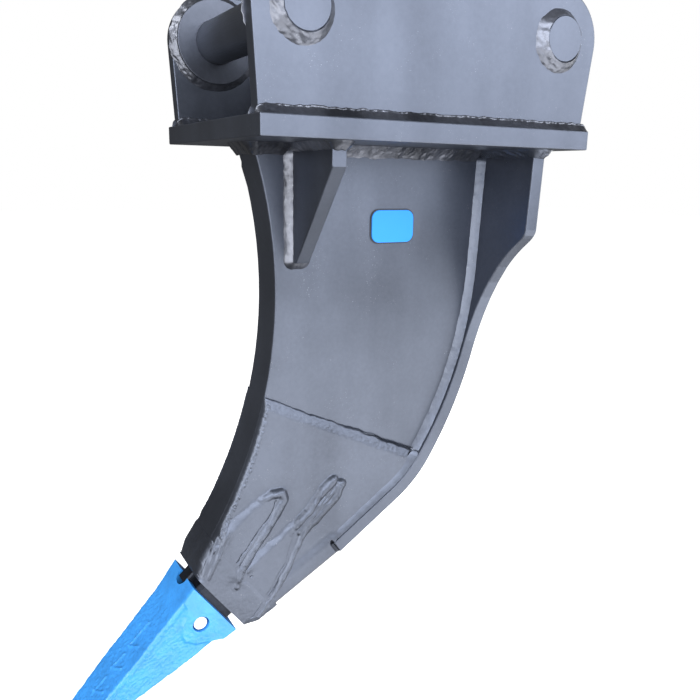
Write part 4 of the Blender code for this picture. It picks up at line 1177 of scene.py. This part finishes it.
class RIPPER_OT_set_stage(bpy.types.Operator):
    """Set the pale floor, the softboxes and the camera"""
    bl_idname = "ripper.set_stage"
    bl_label = "Set stage"

    def execute(self, context):
        s = context.scene.ripper_stage
        scene = context.scene
        scene.view_settings.view_transform = "Standard"
        floor_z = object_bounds()[0][2] - 0.0005
        mesh = bpy.data.meshes.new("floor")
        reach = 14.0
        corners = ((-reach, -reach), (reach, -reach), (reach, reach), (-reach, reach))
        mesh.from_pydata([(x, y, floor_z) for x, y in corners], [], [(0, 1, 2, 3)])
        floor = bpy.data.objects.new("floor", mesh)
        scene.collection.objects.link(floor)
        floor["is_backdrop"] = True
        pale = bpy.data.materials.new("pale_floor")
        pale.use_nodes = True
        shader = pale.node_tree.nodes["Principled BSDF"]
        shader.inputs["Base Color"].default_value = (0.9, 0.9, 0.9, 1.0)
        shader.inputs["Roughness"].default_value = 0.9
        shader.inputs["Specular IOR Level"].default_value = 0.0
        shader.inputs["Emission Color"].default_value = (1.0, 1.0, 1.0, 1.0)
        shader.inputs["Emission Strength"].default_value = 1.0
        mesh.materials.append(pale)
        floor.visible_diffuse = False
        floor.visible_glossy = False
        floor.visible_shadow = False
        world = bpy.data.worlds.new("studio")
        scene.world = world
        world.use_nodes = True
        tree = world.node_tree
        back = tree.nodes["Background"]
        sees = tree.nodes.new("ShaderNodeLightPath")
        strength = stretch(tree, sees.outputs["Is Camera Ray"], 0.0, 1.0, s.ambient, 1.0)
        tree.links.new(strength, back.inputs["Strength"])
        back.inputs["Color"].default_value = (1.0, 1.0, 1.0, 1.0)

        def softbox(name, towards, width, height, glow, colour=WHITE):
            """A panel facing the object; glow is its power for each square metre."""
            light = bpy.data.lights.new(name + "_softbox", "AREA")
            light.shape = "RECTANGLE"
            light.size, light.size_y = width, height
            light.energy = glow * width * height
            light.color = colour
            lamp = bpy.data.objects.new(light.name, light)
            scene.collection.objects.link(lamp)
            aim = Vector(LIGHTS_AIM) + Vector(BASE_AT)
            away = Vector(towards).normalized()
            lamp.location = aim + away * LIGHTS_AWAY
            lamp.rotation_euler = away.to_track_quat("Z", "Y").to_euler()

        side = s.side_glow
        softbox("high_side", (0.60, -0.76, 0.36), 3.2, 1.5, side, BLUISH)
        softbox("low_side", (0.56, -0.68, -0.46), 3.2, 2.0, 0.75 * side)
        softbox("near_high", (-0.26, -0.90, 0.42), 2.2, 1.6, 1.4 * side, BLUISH)
        softbox("near_low", (-0.28, -0.88, -0.42), 2.2, 1.8, 0.6 * side)
        softbox("left", (-0.88, -0.46, -0.08), 1.6, 2.4, s.left_glow)
        softbox("under", (0.45, 0.10, -0.90), 1.6, 1.6, s.under_glow)
        softbox("right", (0.98, 0.10, 0.05), 2.0, 2.4, s.right_glow)
        softbox("front_top", (-0.75, -0.10, 0.65), 1.0, 1.0, s.top_glow)
        camera = bpy.data.cameras.new("camera")
        camera.lens = s.lens
        camera.sensor_width = 36.0
        camera.clip_end = 100.0
        eye = bpy.data.objects.new("camera", camera)
        scene.collection.objects.link(eye)
        forward = Vector(CAMERA_FORWARD).normalized()
        right = Vector(CAMERA_RIGHT)
        right = (right - forward * right.dot(forward)).normalized()
        up = right.cross(forward)
        turn = Matrix((right, up, -forward)).transposed().to_4x4()
        at = Vector(CAMERA_AT) + Vector(BASE_AT)
        eye.matrix_world = Matrix.Translation(at) @ turn
        scene.camera = eye
        return {"FINISHED"}


class RIPPER_PT_panel(bpy.types.Panel):
    """The ripper's steps and sizes in the sidebar"""
    bl_idname = "RIPPER_PT_panel"
    bl_label = "Ripper"
    bl_space_type = "VIEW_3D"
    bl_region_type = "UI"
    bl_category = "Ripper"

    def draw(self, context):
        for group in SETTINGS:
            box = self.layout.box()
            settings = getattr(context.scene, group)
            for name in settings.bl_rna.properties.keys():
                if name not in ("rna_type", "name"):
                    box.prop(settings, name)
        for step in STEPS:
            self.layout.operator(step.bl_idname)


SETTINGS = {"ripper_paint": RipperPaint, "ripper_welds": RipperWelds,
            "ripper_castings": RipperCastings, "ripper_stage": RipperStage}
STEPS = (RIPPER_OT_paint_plates, RIPPER_OT_weld_ears, RIPPER_OT_weld_pins,
         RIPPER_OT_weld_shank, RIPPER_OT_weld_gussets, RIPPER_OT_weld_flange,
         RIPPER_OT_shape_side_relief, RIPPER_OT_shape_adaptor_body, RIPPER_OT_cast_point,
         RIPPER_OT_fit_badge, RIPPER_OT_set_stage)


def register():
    for kind in (*SETTINGS.values(), *STEPS, RIPPER_PT_panel):
        bpy.utils.register_class(kind)
    for name, kind in SETTINGS.items():
        setattr(bpy.types.Scene, name, PointerProperty(type=kind))


def unregister():
    for name in SETTINGS:
        delattr(bpy.types.Scene, name)
    for kind in (RIPPER_PT_panel, *reversed(STEPS), *reversed(list(SETTINGS.values()))):
        bpy.utils.unregister_class(kind)


def main():
    register()
    for step in STEPS:
        area, name = step.bl_idname.split(".")
        getattr(getattr(bpy.ops, area), name)()


if __name__ == "__main__":
    main()
